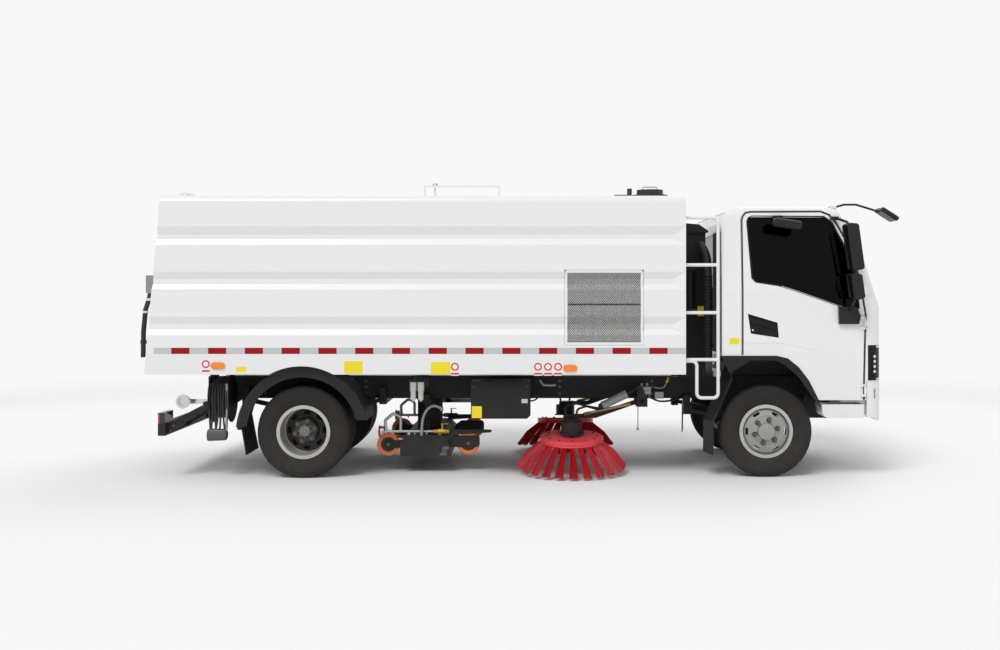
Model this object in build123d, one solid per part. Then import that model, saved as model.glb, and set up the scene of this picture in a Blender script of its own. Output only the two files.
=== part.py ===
from build123d import *
import math
import os

# Street sweeper truck, in millimetres. +X forward, +Z up, right side at -Y, ground at Z 0.

# Hopper body
BODY_HALF = 1100
BODY_FLOOR = 855
BODY_TOP = 2308
BODY_FRONT = 1302
BODY_REAR_LOW = -3088
BODY_REAR_HIGH = -2958
BODY_EDGE = 60
DOOR_DEPTH = 78
DOOR_GAP = 6
CHEEK = 48
WALL = 60
SIDE_WALL = 90
GROOVE_DEPTH = 28
DOOR_PIVOT = (-2840, BODY_TOP + 24)

# Running gear
FRONT_AXLE = 1984
REAR_AXLE = -1816
AXLE_Z = 376
TYRE_R = 376
TYRE_HALF = 107
RIM_SEAT = 206
FRONT_TRACK = 845
REAR_TRACKS = (905, 665)

# Chassis rails and the tipping hinge of the body
RAIL_LOW = 600
RAIL_HIGH = 790
RAIL_OUT = 370
TIP_X = -2700
TIP_Z = 815

# Cab, with X from the front axle
CAB_HALF = 1010
CAB_REAR = -375
CAB_NOSE = 1000
CAB_SWEEP = 79
CAB_ROOF = 2230
CAB_WALL = 42
ARCH_CROWN = 1002
HINGE_X = CAB_NOSE - 209
HINGE_Y = CAB_HALF + 10
HINGE_LEVELS = (690, 1240)
TUNNEL_HALF = 400

# Intake grille in the body side
GRILLE_REAR = 318
GRILLE_FRONT = 961
GRILLE_LOW = 1092
GRILLE_HIGH = 1703
GRILLE_SPLIT = 1421

# Side brushes and suction nozzle
BRUSH_PIVOT = (990, 600)
BRUSH_AT = (389, -740, 300)
BRUSH_TILT = 6
BRUSH_R = 265
TUFTS = 24
NOZZLE_X = -850
NOZZLE_HALF = 700
CASTER_R = 96
CASTER_FRONT = (-481, 240)
CASTER_REAR = (-1160, 230)

# Clearance of a pin in its bore
FIT = 0.08

# Body grooves: upper edge, upper end of the recess, lower end of the recess, lower edge
GROOVES = [
    (2057, 1989, 1954, 1906),
    (1688, 1630, 1588, 1544),
    (1324, 1264, 1221, 1175),
]

# Leaning stages of the cab from the floor up: lower edge, lean per millimetre of height
STAGES = [
    (480, 0.0),
    (1400, -0.3242),
    (1875, -0.5859),
]

# Wheel arch edge of the cab: x from the axle, z, how far a layer moves along and up with its depth
ARCH_OUT = [
    (73, ARCH_CROWN, -0.2, 1.0),
    (163, 981, 0.5, 1.0),
    (253, 908, 0.75, 0.75),
    (335, 801, 0.9, 0.5),
    (393, 686, 1.0, 0.4),
    (416, 640, 1.0, 1.0),
]

# Inner edge of the arch trim: x from the axle, z
ARCH_IN = [
    (425, 580),
    (335, 703),
    (245, 834),
    (130, 932),
    (48, 965),
    (-140, 965),
]

# Roof line over the windscreen: x from the nose, z from the roof
ROOF_FRONT = [
    (-264, -130),
    (-312, -80),
    (-394, -30),
    (-524, 0),
]

# Roll of the roof into the rear panel: x from the rear panel, z from the roof
ROOF_REAR = [
    (181, -2),
    (91, -22),
    (31, -65),
    (0, -140),
]

# Door outline: x from the axle, z
DOOR = [
    (CAB_REAR + 163, 900),
    (CAB_REAR + 163, CAB_ROOF - 120),
    (CAB_REAR + 173, CAB_ROOF - 80),
    (CAB_REAR + 199, CAB_ROOF - 52),
    (CAB_REAR + 241, CAB_ROOF - 43),
    (CAB_NOSE - 554, CAB_ROOF - 40),
    (CAB_NOSE - 484, CAB_ROOF - 70),
    (CAB_NOSE - 424, CAB_ROOF - 145),
    (CAB_NOSE - 312, 1875),
    (CAB_NOSE - 249, 1637),
    (CAB_NOSE - 198, 1345),
    (CAB_NOSE - 212, 760),
    (CAB_NOSE - 212, 600),
    (CAB_REAR + 163, 600),
]

# Window outline: x from the axle, z
WINDOW = [
    (CAB_REAR + 218, CAB_ROOF - 130),
    (CAB_REAR + 229, CAB_ROOF - 102),
    (CAB_REAR + 253, CAB_ROOF - 91),
    (CAB_NOSE - 534, CAB_ROOF - 94),
    (CAB_NOSE - 474, CAB_ROOF - 140),
    (CAB_NOSE - 348, 1850),
    (CAB_NOSE - 290, 1620),
    (CAB_NOSE - 262, 1395),
    (CAB_NOSE - 308, 1378),
    (218, 1545),
    (86, 1585),
    (CAB_REAR + 281, 1612),
    (CAB_REAR + 253, 1640),
]

# Door handle recess, its grip and the crease below: x from the axle, z
HANDLE = [(-165, 1346), (78, 1273), (89, 1149), (-140, 1184)]
GRIP = [(-174, 1322), (88, 1246), (92, 1208), (-169, 1284)]
CREASE = [(-189, 1107), (106, 1107), (376, 1049), (376, 1041), (106, 1099), (-189, 1099)]

# Slots of the front grille: lower edge, upper edge
GRILLE_SLOTS = [(862, 908), (926, 972), (990, 1036)]

# Head lamp bowls: distance in from the cab side, radius
LAMP_BOWLS = [(250, 68), (110, 56)]

# Mirror heads: lower edge, upper edge, lower and upper rear edge from the nose, depth
MIRROR_HEADS = [
    (1692, 2079, -368, -418, 95),
    (1458, 1676, -356, -384, 88),
]

# Half section of a leaf spring: x, z
SPRING = [
    (-560, 520), (-560, 486), (-300, 430), (-90, 350), (90, 350), (300, 430),
    (560, 486), (560, 520), (300, 462), (120, 430), (-120, 430), (-300, 462),
]

# Suction nozzle seen from the side: x, z
NOZZLE = [(-1053, 141), (-1053, 262), (-1000, 318), (-700, 318), (-649, 262), (-625, 141)]


def box(x0, x1, y0, y1, z0, z1):
    mid = Pos((x0 + x1) / 2, (y0 + y1) / 2, (z0 + z1) / 2)
    return mid * Box(x1 - x0, y1 - y0, z1 - z0)


def rod_x(y, z, r, x0, x1):
    return Pos((x0 + x1) / 2, y, z) * Rot(0, 90, 0) * Cylinder(r, x1 - x0)


def rod_y(x, z, r, y0, y1):
    return Pos(x, (y0 + y1) / 2, z) * Rot(90, 0, 0) * Cylinder(r, y1 - y0)


def rod_z(x, y, r, z0, z1):
    return Pos(x, y, (z0 + z1) / 2) * Cylinder(r, z1 - z0)


def rod(start, end, r):
    along = Vector(*end) - Vector(*start)
    place = Plane(origin=start, z_dir=along)
    return place * Pos(0, 0, along.length / 2) * Cylinder(r, along.length)


def bent(points, r, bend):
    path = FilletPolyline(*points, radius=bend)
    return sweep(Plane(origin=path @ 0, z_dir=path % 0) * Circle(r), path)


def polygon(points):
    return make_face(Polyline(*points, close=True))


def side_prism(points, y0, y1, grow=0):
    face = polygon(points)
    if grow:
        face = offset(face, grow, kind=Kind.INTERSECTION)
    return Pos(0, y1, 0) * extrude(Plane.XZ * face, amount=y1 - y0)


def plan_prism(points, z0, z1):
    return Pos(0, 0, z0) * extrude(polygon(points), amount=z1 - z0)


def front_prism(points, x0, x1):
    return Pos(x0, 0, 0) * extrude(Plane.YZ * polygon(points), amount=x1 - x0)


def ring_y(points):
    return revolve(Plane.YZ * polygon(points), Axis.Y)


def bellows(x, y, z0, z1, r, count):
    pitch = (z1 - z0) / count
    points = [(0, z0)]
    for i in range(count):
        points += [(0.86 * r, z0 + i * pitch), (r, z0 + (i + 0.5) * pitch)]
    points += [(0.86 * r, z1), (0, z1)]
    return Pos(x, y, 0) * revolve(Plane.XZ * polygon(points), Axis.Z)


def left_of(shape):
    return mirror(shape, about=Plane.XZ)


def both(shape):
    return [shape, left_of(shape)]


def fused(*shapes):
    whole = shapes[0]
    for shape in shapes[1:]:
        whole = whole + shape
    return whole


def less(shape, *cuts):
    for cut in cuts:
        shape = shape - cut
    return shape


# Chassis frame: two channel rails, crossmembers and the brackets that carry the rest
def chassis_frame():
    nose = FRONT_AXLE + 786
    rail = box(-2750, nose, -RAIL_OUT, -RAIL_OUT + 70, RAIL_LOW, RAIL_HIGH)
    rail -= box(-2800, nose + 30, -RAIL_OUT + 8, -RAIL_OUT + 71, RAIL_LOW + 8, RAIL_HIGH - 8)
    parts = both(rail)
    for x in (-2700, -2250, -1380, -450, 300, 1100, nose - 80):
        parts.append(box(x - 30, x + 30, -RAIL_OUT + 8, RAIL_OUT - 8, RAIL_LOW + 30, RAIL_HIGH - 30))
    for x_mid, low, high in ((FRONT_AXLE, 470, RAIL_LOW + 36), (REAR_AXLE, 556, RAIL_LOW + 100)):
        for x in (x_mid - 620, x_mid + 560):
            parts += both(box(x, x + 60, -462, -RAIL_OUT, low, high))
    parts += both(brush_bracket())
    guide = fused(
        box(NOZZLE_X - 30, NOZZLE_X + 30, -460, -RAIL_OUT, 560, 640),
        rod_z(NOZZLE_X, -430, 16, 150, 600),
    )
    parts += both(guide)
    lug = fused(
        box(TIP_X - 35, TIP_X + 35, -RAIL_OUT, -RAIL_OUT + 30, RAIL_HIGH, TIP_Z),
        rod_y(TIP_X, TIP_Z, 34, -RAIL_OUT, -RAIL_OUT + 30),
    )
    lug = lug & box(TIP_X - 100, TIP_X + 100, -RAIL_OUT - 30, -RAIL_OUT + 70, RAIL_HIGH, TIP_Z + 85)
    lug -= rod_y(TIP_X, TIP_Z, 20 + FIT, -RAIL_OUT - 30, -RAIL_OUT + 70)
    parts += both(lug)
    # sleeve of the suction duct, held between two crossmembers
    sleeve = fused(
        rod_z(NOZZLE_X, 0, 124, 560, 845),
        box(-1410, NOZZLE_X, -30, 30, 650, 740),
        box(NOZZLE_X, -420, -30, 30, 650, 740),
    )
    sleeve -= rod_z(NOZZLE_X, 0, 116, 500, 900)
    return fused(*parts, sleeve)


def brush_bracket():
    x, z = BRUSH_PIVOT
    foot = box(x - 45, x + 45, -560, -RAIL_OUT, z - 48, z + 42)
    shelf = box(x - 45, x + 45, -660, -560, z - 48, z - 36)
    cheek = box(x - 45, x + 45, -660, -640, z - 48, z + 42)
    horn = side_prism([(x - 45, z), (x + 45, z), (x, z + 130), (x - 40, z + 130)], -672, -660)
    return fused(foot, shelf, cheek, horn) - rod_y(x, z, 15 + FIT, -700, -500)


def axles():
    beam = box(FRONT_AXLE - 38, FRONT_AXLE + 38, -560, 560, 296, 350)
    stub = box(FRONT_AXLE - 32, FRONT_AXLE + 32, -638, -560, 296, 421)
    end = box(FRONT_AXLE - 35, FRONT_AXLE + 35, -725, -638, 331, 421)
    end -= rod_z(FRONT_AXLE, -690, 20 + FIT, 300, 460)
    beam = fused(beam, *both(stub), *both(end))
    rear = fused(
        rod_y(REAR_AXLE, AXLE_Z, 60, -545, 545),
        rod_x(0, AXLE_Z, 150, REAR_AXLE - 150, REAR_AXLE + 170),
        rod_x(0, AXLE_Z, 60, REAR_AXLE + 170, REAR_AXLE + 240),
        rod_y(REAR_AXLE, AXLE_Z, 45, -880, 880),
        *both(box(REAR_AXLE - 60, REAR_AXLE + 60, -462, -392, 400, 436)),
    )
    return [beam, rear]


def leaf_springs():
    springs = []
    for x_mid, lift in ((FRONT_AXLE, 0), (REAR_AXLE, 86)):
        moved = [(x_mid + x, z + lift) for x, z in SPRING]
        springs += both(side_prism(moved, -460, -392))
    return springs


def engine_block():
    inside = RAIL_OUT - 8
    block = fused(
        box(-344, 616, -285, 285, 640, 950),
        box(-284, 516, -200, 200, 430, 640),
        box(-244, -184, -inside, inside, 650, 690),
        box(456, 516, -inside, inside, 650, 690),
    )
    return [block]


# Cab: a plan outline carried up along the lean of the windscreen, cut by side and front sections
def cab_layer(d):
    side_y = CAB_HALF - d
    rear = CAB_REAR + d
    nose = CAB_NOSE - d
    corner = nose - CAB_SWEEP
    outline = [
        Line((rear, -side_y), (corner, -side_y)),
        ThreePointArc((corner, -side_y), (nose, 0), (corner, side_y)),
        Line((corner, side_y), (rear, side_y)),
        Line((rear, side_y), (rear, -side_y)),
    ]
    plan = make_face(outline)
    plan = fillet(plan.vertices().sort_by(Axis.X)[-2:], 120 - d)
    face = plan.face()
    tops = [low for low, lean in STAGES[1:]] + [CAB_ROOF + 70]
    pieces = []
    back = 0
    for (low, lean), high in zip(STAGES, tops):
        rise = high - low
        stage = face.moved(Location((back, 0, low)))
        pieces.append(Solid.extrude(stage, Vector(lean * rise, 0, rise)))
        back += lean * rise
    whole = fused(*pieces)
    profile = [(rear, ARCH_CROWN + d)]
    profile += [(x + along * d, z + up * d) for x, z, along, up in ARCH_OUT]
    foot = CAB_NOSE - 196 - d
    profile += [(foot, 640 + d), (foot, 790 + d), (CAB_NOSE + 216, 790 + d), (CAB_NOSE + 216, CAB_ROOF - 130 - d)]
    profile += [(nose + x, CAB_ROOF + z - d) for x, z in ROOF_FRONT]
    profile += [(rear + x, CAB_ROOF + z - d) for x, z in ROOF_REAR]
    whole = whole & side_prism(profile, -CAB_HALF - 300, CAB_HALF + 300)
    belt = 1530
    top_y = CAB_HALF - 60 - d
    section = polygon([
        (-side_y, 400), (-side_y, belt), (-top_y, CAB_ROOF - d), (top_y, CAB_ROOF - d), (side_y, belt), (side_y, 400),
    ])
    tops = section.vertices().sort_by(Axis.Y)[-2:]
    section = fillet(tops, 95 - d)
    length = CAB_NOSE - CAB_REAR + 1000
    return whole & (Pos(CAB_REAR - 500, 0, 0) * extrude(Plane.YZ * section, amount=length))


def tunnel(d):
    # engine space under the cab floor
    half = TUNNEL_HALF + d
    return [box(166, 676 + d, -half, half, 600, ARCH_CROWN + d), box(316, CAB_NOSE + 116, -half, half, 600, 800 + d)]


def lamp_space():
    return box(CAB_NOSE - 184, CAB_NOSE + 116, -CAB_HALF - 190, -CAB_HALF + 370, 800, 1090)


def grille_space():
    return box(CAB_NOSE - 184, CAB_NOSE + 116, -CAB_HALF + 410, CAB_HALF - 410, 842, 1060)


def screen_space():
    return box(CAB_NOSE - 584, CAB_NOSE + 116, -CAB_HALF + 130, CAB_HALF - 130, 1480, CAB_ROOF - 140)


def rear_window_space():
    return box(CAB_REAR - 59, CAB_REAR + 91, -560, 560, 1580, CAB_ROOF - 220)


def cab_wall():
    outer = less(cab_layer(0), *tunnel(0))
    inner = less(cab_layer(CAB_WALL), *tunnel(CAB_WALL))
    return outer - inner


def cab_shell(wall):
    # what lies between the two door leaves is kept when the door gaps are cut
    above = box(-1000, 1500, -CAB_HALF + 110, CAB_HALF - 110, 0, 3000)
    inside = CAB_HALF - CAB_WALL - 6
    below = box(-1000, 1500, -inside, inside, 0, 1450)
    gaps = side_prism(DOOR, -CAB_HALF - 290, CAB_HALF + 290, 5) - fused(above, below)
    lamp = lamp_space()
    shell = less(wall, screen_space(), rear_window_space(), lamp, left_of(lamp), grille_space(), gaps)
    solid_cab = cab_layer(0)
    for z in HINGE_LEVELS:
        front = CAB_NOSE - (196 if z < 790 else 169)
        barrel = fused(
            rod_z(HINGE_X, -HINGE_Y, 9, z, z + 60),
            box(HINGE_X, front, -CAB_HALF - 14, -CAB_HALF + 6, z, z + 60),
        )
        barrel = less(barrel, solid_cab, rod_z(HINGE_X, -HINGE_Y, 5 + FIT, z - 5, z + 65))
        shell = fused(shell, *both(barrel))
    stands = fused(
        box(CAB_REAR + 31, CAB_REAR + 111, -RAIL_OUT, -RAIL_OUT + 70, RAIL_HIGH, ARCH_CROWN),
        box(CAB_NOSE - 304, CAB_NOSE - 224, -RAIL_OUT, -RAIL_OUT + 70, RAIL_HIGH, 800),
    )
    shell = fused(shell, *both(stands))
    for y in (-600, -300, 0, 300, 600):
        shell = fused(shell, box(-184, 416, y - 35, y + 35, CAB_ROOF - 15, CAB_ROOF + 7))
    return shell


def glass_sheet():
    return cab_layer(14) - cab_layer(20)


def front_grille():
    bars = (cab_layer(1) - cab_layer(26)) & grille_space()
    for low, high in GRILLE_SLOTS:
        bars -= box(CAB_NOSE - 284, CAB_NOSE + 116, -CAB_HALF + 450, CAB_HALF - 450, low, high)
    back = (cab_layer(26) - cab_layer(34)) & grille_space()
    return fused(bars, back)


def headlamps():
    lamp = (cab_layer(0) - cab_layer(60)) & lamp_space()
    face_x = CAB_NOSE - 14
    for inset, r in LAMP_BOWLS:
        y = -CAB_HALF + inset
        lamp -= Pos(face_x - 45, y, 950) * Rot(0, 90, 0) * Cone(0.45 * r, r, 90)
        lamp -= rod_x(y, 950, r, face_x - 0.1, CAB_NOSE + 116)
    return both(lamp)


def door_right(wall):
    above = box(-1000, 1500, -CAB_HALF - 290, -CAB_HALF + 110, 1450, 3000)
    below = box(-1000, 1500, -CAB_HALF - 290, -CAB_HALF + CAB_WALL + 1, 0, 1450)
    leaf = (wall & side_prism(DOOR, -CAB_HALF - 290, CAB_HALF + 290)) & fused(above, below)
    leaf -= side_prism(WINDOW, -CAB_HALF - 290, -CAB_HALF + 310)
    leaf -= side_prism(HANDLE, -CAB_HALF - 90, -CAB_HALF + 16)
    leaf = fused(leaf, side_prism(GRIP, -CAB_HALF + 3, -CAB_HALF + 14))
    leaf -= side_prism(CREASE, -CAB_HALF - 90, -CAB_HALF + 3)
    for z in HINGE_LEVELS:
        leaf = fused(leaf, rod_z(HINGE_X, -HINGE_Y, 5, z - 22, z + 82))
        for low in (z - 22, z + 62):
            leaf = fused(
                leaf,
                rod_z(HINGE_X, -HINGE_Y, 9, low, low + 20),
                box(HINGE_X - 40, HINGE_X, -CAB_HALF - 14, -CAB_HALF, low, low + 20),
            )
    return leaf


def mirrors_right():
    base = side_prism(
        [(CAB_NOSE - 429, 1405), (CAB_NOSE - 284, 1405), (CAB_NOSE - 249, 1330), (CAB_NOSE - 264, 1262),
         (CAB_NOSE - 424, 1262)],
        -CAB_HALF - 35, -CAB_HALF,
    )
    arm = bent(
        [(CAB_NOSE - 344, -CAB_HALF - 20, 1370), (CAB_NOSE - 334, -CAB_HALF - 140, 1440),
         (CAB_NOSE - 329, -CAB_HALF - 150, 1690), (CAB_NOSE - 384, -CAB_HALF - 140, CAB_ROOF - 145),
         (CAB_NOSE - 444, -CAB_HALF + 10, CAB_ROOF - 100)],
        11, 30,
    )
    foot = box(CAB_NOSE - 484, CAB_NOSE - 424, -CAB_HALF - 10, -CAB_HALF + 80, CAB_ROOF - 118, CAB_ROOF - 90)
    foot -= cab_layer(0)
    heads = []
    for low, high, low_x, high_x, depth in MIRROR_HEADS:
        a = CAB_NOSE + low_x
        b = CAB_NOSE + high_x
        side = [(a, low), (b, high), (b + depth, high - 8), (a + depth, low + 14)]
        head = side_prism(side, -CAB_HALF - 240, -CAB_HALF - 75)
        head = fillet(head.edges().filter_by(Axis.Y), 26)
        glass = [(a - 5, low + 18), (b - 5, high - 18), (b + 8, high - 18), (a + 8, low + 18)]
        heads.append(head - side_prism(glass, -CAB_HALF - 228, -CAB_HALF - 87))
    return fused(base, arm, foot, *heads)


def kerb_mirror():
    clamp = box(46, 126, -CAB_HALF + 10, -CAB_HALF + 80, CAB_ROOF - 110, CAB_ROOF - 80) - cab_layer(0)
    arm = rod((86, -CAB_HALF + 40, CAB_ROOF - 95), (106, -CAB_HALF - 120, CAB_ROOF - 145), 10)
    head = fillet(Box(230, 100, 70).edges(), 22)
    return fused(clamp, arm, Pos(126, -CAB_HALF - 140, CAB_ROOF - 158) * Rot(0, 8, 0) * head)


def seats():
    mid = -560
    cushion = fillet(box(-154, 316, mid - 230, mid + 230, 1110, 1225).edges(), 35)
    base = box(-104, 256, mid - 180, mid + 180, ARCH_CROWN + CAB_WALL, 1150)
    back = fillet(Box(110, 450, 600).edges(), 38)
    rest = fillet(Box(80, 250, 170).edges(), 30)
    one = fused(
        cushion,
        base,
        Pos(-184, mid, 1480) * Rot(0, -8, 0) * back,
        Pos(-239, mid, 1850) * Rot(0, -8, 0) * rest,
        rod((-219, mid, 1720), (-239, mid, 1830), 12),
    )
    return both(one)


def dashboard():
    rear = CAB_NOSE - 424
    front = CAB_NOSE - 184
    half = CAB_HALF - 110
    desk = side_prism([(rear, 1130), (rear, 1350), (rear + 80, 1420), (front, 1420), (front, 1130)], -half, half)
    post = box(rear + 80, rear + 170, -half + 20, -450, 640 + CAB_WALL, 1131)
    hub = (rear - 160, 480, 1470)
    column = rod((rear + 60, 480, 1250), hub, 22)
    wheel_plane = Plane(origin=hub, z_dir=(-1, 0, 1))
    return [fused(desk, *both(post), column, wheel_plane * Torus(205, 15), wheel_plane * Box(410, 40, 16))]


def front_bumper():
    rear = CAB_NOSE - 284
    corner = CAB_NOSE - CAB_SWEEP
    outline = [
        Line((rear, -CAB_HALF), (corner, -CAB_HALF)),
        ThreePointArc((corner, -CAB_HALF), (CAB_NOSE, 0), (corner, CAB_HALF)),
        Line((corner, CAB_HALF), (rear, CAB_HALF)),
        Line((rear, CAB_HALF), (rear, -CAB_HALF)),
    ]
    plan = make_face(outline)
    plan = fillet(plan.vertices().sort_by(Axis.X)[-2:], 110)
    band = Pos(0, 0, 450) * extrude(plan - offset(plan, -60, kind=Kind.INTERSECTION), amount=400)
    side = [
        (CAB_NOSE - 192, 500), (CAB_NOSE - 134, 497), (CAB_NOSE - 94, 470), (CAB_NOSE + 116, 470),
        (CAB_NOSE + 116, 788), (CAB_NOSE - 192, 788),
    ]
    band = band & side_prism(side, -CAB_HALF - 190, CAB_HALF + 190)
    skin = Pos(0, 0, 400) * extrude(plan - offset(plan, -34, kind=Kind.INTERSECTION), amount=500)
    band -= skin & box(CAB_NOSE - 134, CAB_NOSE + 116, -470, 470, 540, 640)
    bracket = box(CAB_NOSE - 214, CAB_NOSE - 24, -RAIL_OUT, -RAIL_OUT + 70, 620, 760)
    bracket -= box(CAB_NOSE - 59, CAB_NOSE + 6, -400, 400, 600, 800)
    band = fused(band, *both(bracket))
    fog = rod_x(-CAB_HALF + 310, 600, 50, CAB_NOSE - 58, CAB_NOSE + 16)
    slot = box(CAB_NOSE - 136, CAB_NOSE - 118, -CAB_HALF - 10, -CAB_HALF + 16, 652, 776)
    band = less(band, *both(fog), *both(slot))
    band = fused(band, rod_x(-335, 700, 32, CAB_NOSE - 124, CAB_NOSE + 1))
    return [band - rod_x(-335, 700, 20, CAB_NOSE - 104, CAB_NOSE + 16)]


def step_sills():
    front = CAB_NOSE - 214
    outside = [(442, 604), (446, 535), (462, 506), (494, 493), (front, 493), (front, 604)]
    sill = side_prism(outside, -CAB_HALF + 10, -CAB_HALF + 230)
    sill -= side_prism([(476, 604), (front - 20, 604), (front - 20, 590), (476, 590)], -CAB_HALF + 25, -CAB_HALF + 215)
    arm = fused(
        box(646, 756, -CAB_HALF + 220, -650, 520, 560),
        box(646, 756, -700, -RAIL_OUT, 540, 560),
        box(646, 756, -RAIL_OUT - 15, -RAIL_OUT, 540, RAIL_LOW + 36),
    )
    return both(fused(sill, arm))


def wheel_arch_trims():
    # the trim stops short of the door by the door gap
    below_door = [(row[0] - 5, row[1] - 5.5) for row in ARCH_OUT[:-1]]
    crown = ARCH_CROWN - 0.5
    outer_y = -CAB_HALF + 9
    inner_y = -480
    top = [(CAB_REAR - 10, crown), (-219, crown), (-219, crown - 5)] + below_door + [(437, 568)]
    lip = side_prism(top + ARCH_IN + [(CAB_REAR + 60, 860)], -CAB_HALF - 12, -CAB_HALF + 10)
    shelf = side_prism([(-284, ARCH_CROWN), (73, ARCH_CROWN), (73, 990), (-284, 990)], outer_y, inner_y)
    slope = side_prism([(-284, ARCH_CROWN), (-284, 990), (CAB_REAR, 880), (CAB_REAR - 9, 880)], outer_y, inner_y)
    front = side_prism(
        [(73, 1001), (163, 980), (253, 907), (335, 800), (393, 685), (415, 640), (405, 640), (383, 681),
         (326, 794), (245, 900), (158, 971), (73, 990)],
        outer_y, inner_y,
    )
    rebate = [(-219, 1010), (-219, crown - 5)] + below_door + [(410, 630), (516, 630), (516, 1010)]
    liner = fused(shelf, slope, front) - side_prism(rebate, outer_y, outer_y + 107)
    strip = polygon([
        (-284, 1001), (-284, 803), (-434, 456), (-438, 183), (-446, 183), (-444, 458), (-294, 805), (-294, 1001),
    ])
    strip = (Pos(0, -CAB_HALF + 50, 0) * (Plane.XZ * strip)).face()
    flap = Solid.extrude(strip, Vector(-40, 260, 0))
    return both(fused(lip, liner, flap))


def lookdown_mirror():
    y = -650
    foot = box(CAB_NOSE - 504, CAB_NOSE - 384, y - 30, y + 30, CAB_ROOF - 80, CAB_ROOF + 8) - cab_layer(0)
    arm = bent(
        [(CAB_NOSE - 424, y, CAB_ROOF - 5), (CAB_NOSE - 284, y, CAB_ROOF + 32), (CAB_NOSE - 184, y, CAB_ROOF + 32),
         (CAB_NOSE + 16, y, CAB_ROOF - 30)],
        9, 25,
    )
    head = fillet(Box(168, 220, 40).edges(), 15)
    return [fused(foot, arm, Pos(CAB_NOSE + 76, y, CAB_ROOF - 52) * Rot(0, 33, 0) * head)]


# Pieces on the chassis
def rear_mudguards():
    outer_r = 538
    skin = rod_y(REAR_AXLE, AXLE_Z, outer_r, -1060, -545)
    skin -= rod_y(REAR_AXLE, AXLE_Z, outer_r - 12, -1045, -500)
    skin -= rod_y(REAR_AXLE, AXLE_Z, outer_r - 85, -1100, -500)
    keep = [
        (REAR_AXLE - 884, 400), (REAR_AXLE - 384, 430), (REAR_AXLE, 500), (REAR_AXLE + 516, 480),
        (REAR_AXLE + 816, 470), (REAR_AXLE + 816, 1200), (REAR_AXLE - 884, 1200),
    ]
    skin = skin & side_prism(keep, -1200, -400)
    x = REAR_AXLE - 530
    flap = side_prism([(x, 400), (x, 480), (x + 24, 480), (x + 78, 195), (x + 70, 195), (x + 36, 400)], -1040, -580)
    stay = box(REAR_AXLE - 30, REAR_AXLE + 30, -552, -RAIL_OUT, 690, 720)
    post = box(REAR_AXLE - 30, REAR_AXLE + 30, -552, -545, 700, AXLE_Z + outer_r - 8)
    return both(fused(skin, flap, stay, post))


def underrun_guard():
    bar = box(-2990, -2930, -1050, 1050, 353, 452)
    plates = fused(
        side_prism([(-2932, 360), (-2932, 445), (-2700, RAIL_LOW - 0.1), (-2560, RAIL_LOW - 0.1)], -362, -310),
        side_prism([(-2932, 360), (-2932, 445), (-2600, 620), (-2600, 570)], -980, -960),
        box(-2640, -2600, -980, -RAIL_OUT, 570, 620),
    )
    return [fused(bar, *both(plates))]


def tail_lamps():
    lamp = box(-2990, -2935, -1045, -800, 452, 540)
    for y in (-965, -885):
        lamp -= box(-3000, -2984, y - 3, y + 3, 460, 532)
    return both(lamp)


def water_inlet():
    x, z = -2799, 627
    inlet = fused(rod_y(x, z, 30, -960, -880), rod_y(x, z, 51, -1010, -960), rod_y(x, z, 58, -1004, -992))
    inlet = fused(inlet, box(x - 31, x + 159, -900, -880, 600, 640))
    return [inlet - rod_y(x, z, 40, -1020, -970)]


def hose_reel():
    y, z = -BODY_HALF + 300, 640
    hub = rod_x(y, z, 60, -2600, -2440)
    plates = fused(rod_x(y, z, 200, -2600, -2592), rod_x(y, z, 200, -2448, -2440))
    coil = rod_x(y, z, 165, -2592, -2448)
    for x in (-2568, -2544, -2520, -2496, -2472):
        coil -= rod_x(y, z, 170, x - 2, x + 2) - rod_x(y, z, 158, x - 3, x + 3)
    return [fused(hub, plates, coil, box(-2540, -2500, y + 160, -RAIL_OUT, 620, 660))]


def electric_cabinet():
    case = side_prism([(-445, 485), (16, 485), (44, 513), (44, 785), (-445, 785)], -984, -640)
    lid = side_prism([(-433, 497), (12, 497), (32, 517), (32, 773), (-433, 773)], -990, -984)
    for x in range(-290, -50, 40):
        lid -= box(x, x + 24, -992, -982, 752, 764)
    latch = box(-30, 20, -996, -990, 614, 648)
    return [fused(case, lid, latch, box(-300, -100, -640, -RAIL_OUT, 640, 700))]


def water_filters():
    y = -900
    rail = fused(
        box(-960, -830, y - 5, -RAIL_OUT, 780, 788),
        box(-960, -830, -RAIL_OUT - 14, -RAIL_OUT, 700, 788),
    )
    for x in (-925, -862):
        rail = fused(rail, rod_z(x, y, 27, 705, 780), rod_z(x, y, 22, 632, 706), rod_z(x, y, 9, 618, 632))
    return [rail]


def intake_stack():
    duct = box(1340, 1540, -560, -300, RAIL_HIGH, 2040)
    hood = side_prism([(1330, 2030), (1330, 2112), (1480, 2100), (1560, 2046), (1560, 2030)], -580, -280)
    hose = bellows(1394, -640, 1388, 1707, 48, 9)
    ends = fused(box(1344, 1444, -690, -555, 1360, 1388), box(1344, 1444, -690, -555, 1707, 1735))
    return [fused(duct, hood, hose, ends)]


def fuel_tank():
    tank = fillet(box(-910, -60, 600, 980, 470, 790).edges().filter_by(Axis.X), 45)
    for x in (-750, -250):
        tank = fused(tank, box(x, x + 50, 594, 986, 520, 740))
    return [fused(tank, box(-700, -200, RAIL_OUT, 600, 640, 700), rod_z(-840, 860, 40, 780, 812))]


# Hopper body: hollow, open at the rear, with three grooves on each side
def body_shear(z):
    share = (z - BODY_FLOOR) / (BODY_TOP - BODY_FLOOR)
    return BODY_REAR_LOW + share * (BODY_REAR_HIGH - BODY_REAR_LOW)


def body_section():
    section = polygon([
        (-BODY_HALF, BODY_FLOOR), (-BODY_HALF, BODY_TOP), (BODY_HALF, BODY_TOP), (BODY_HALF, BODY_FLOOR),
    ])
    return fillet(section.vertices().sort_by(Axis.Y)[-2:], BODY_EDGE)


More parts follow.
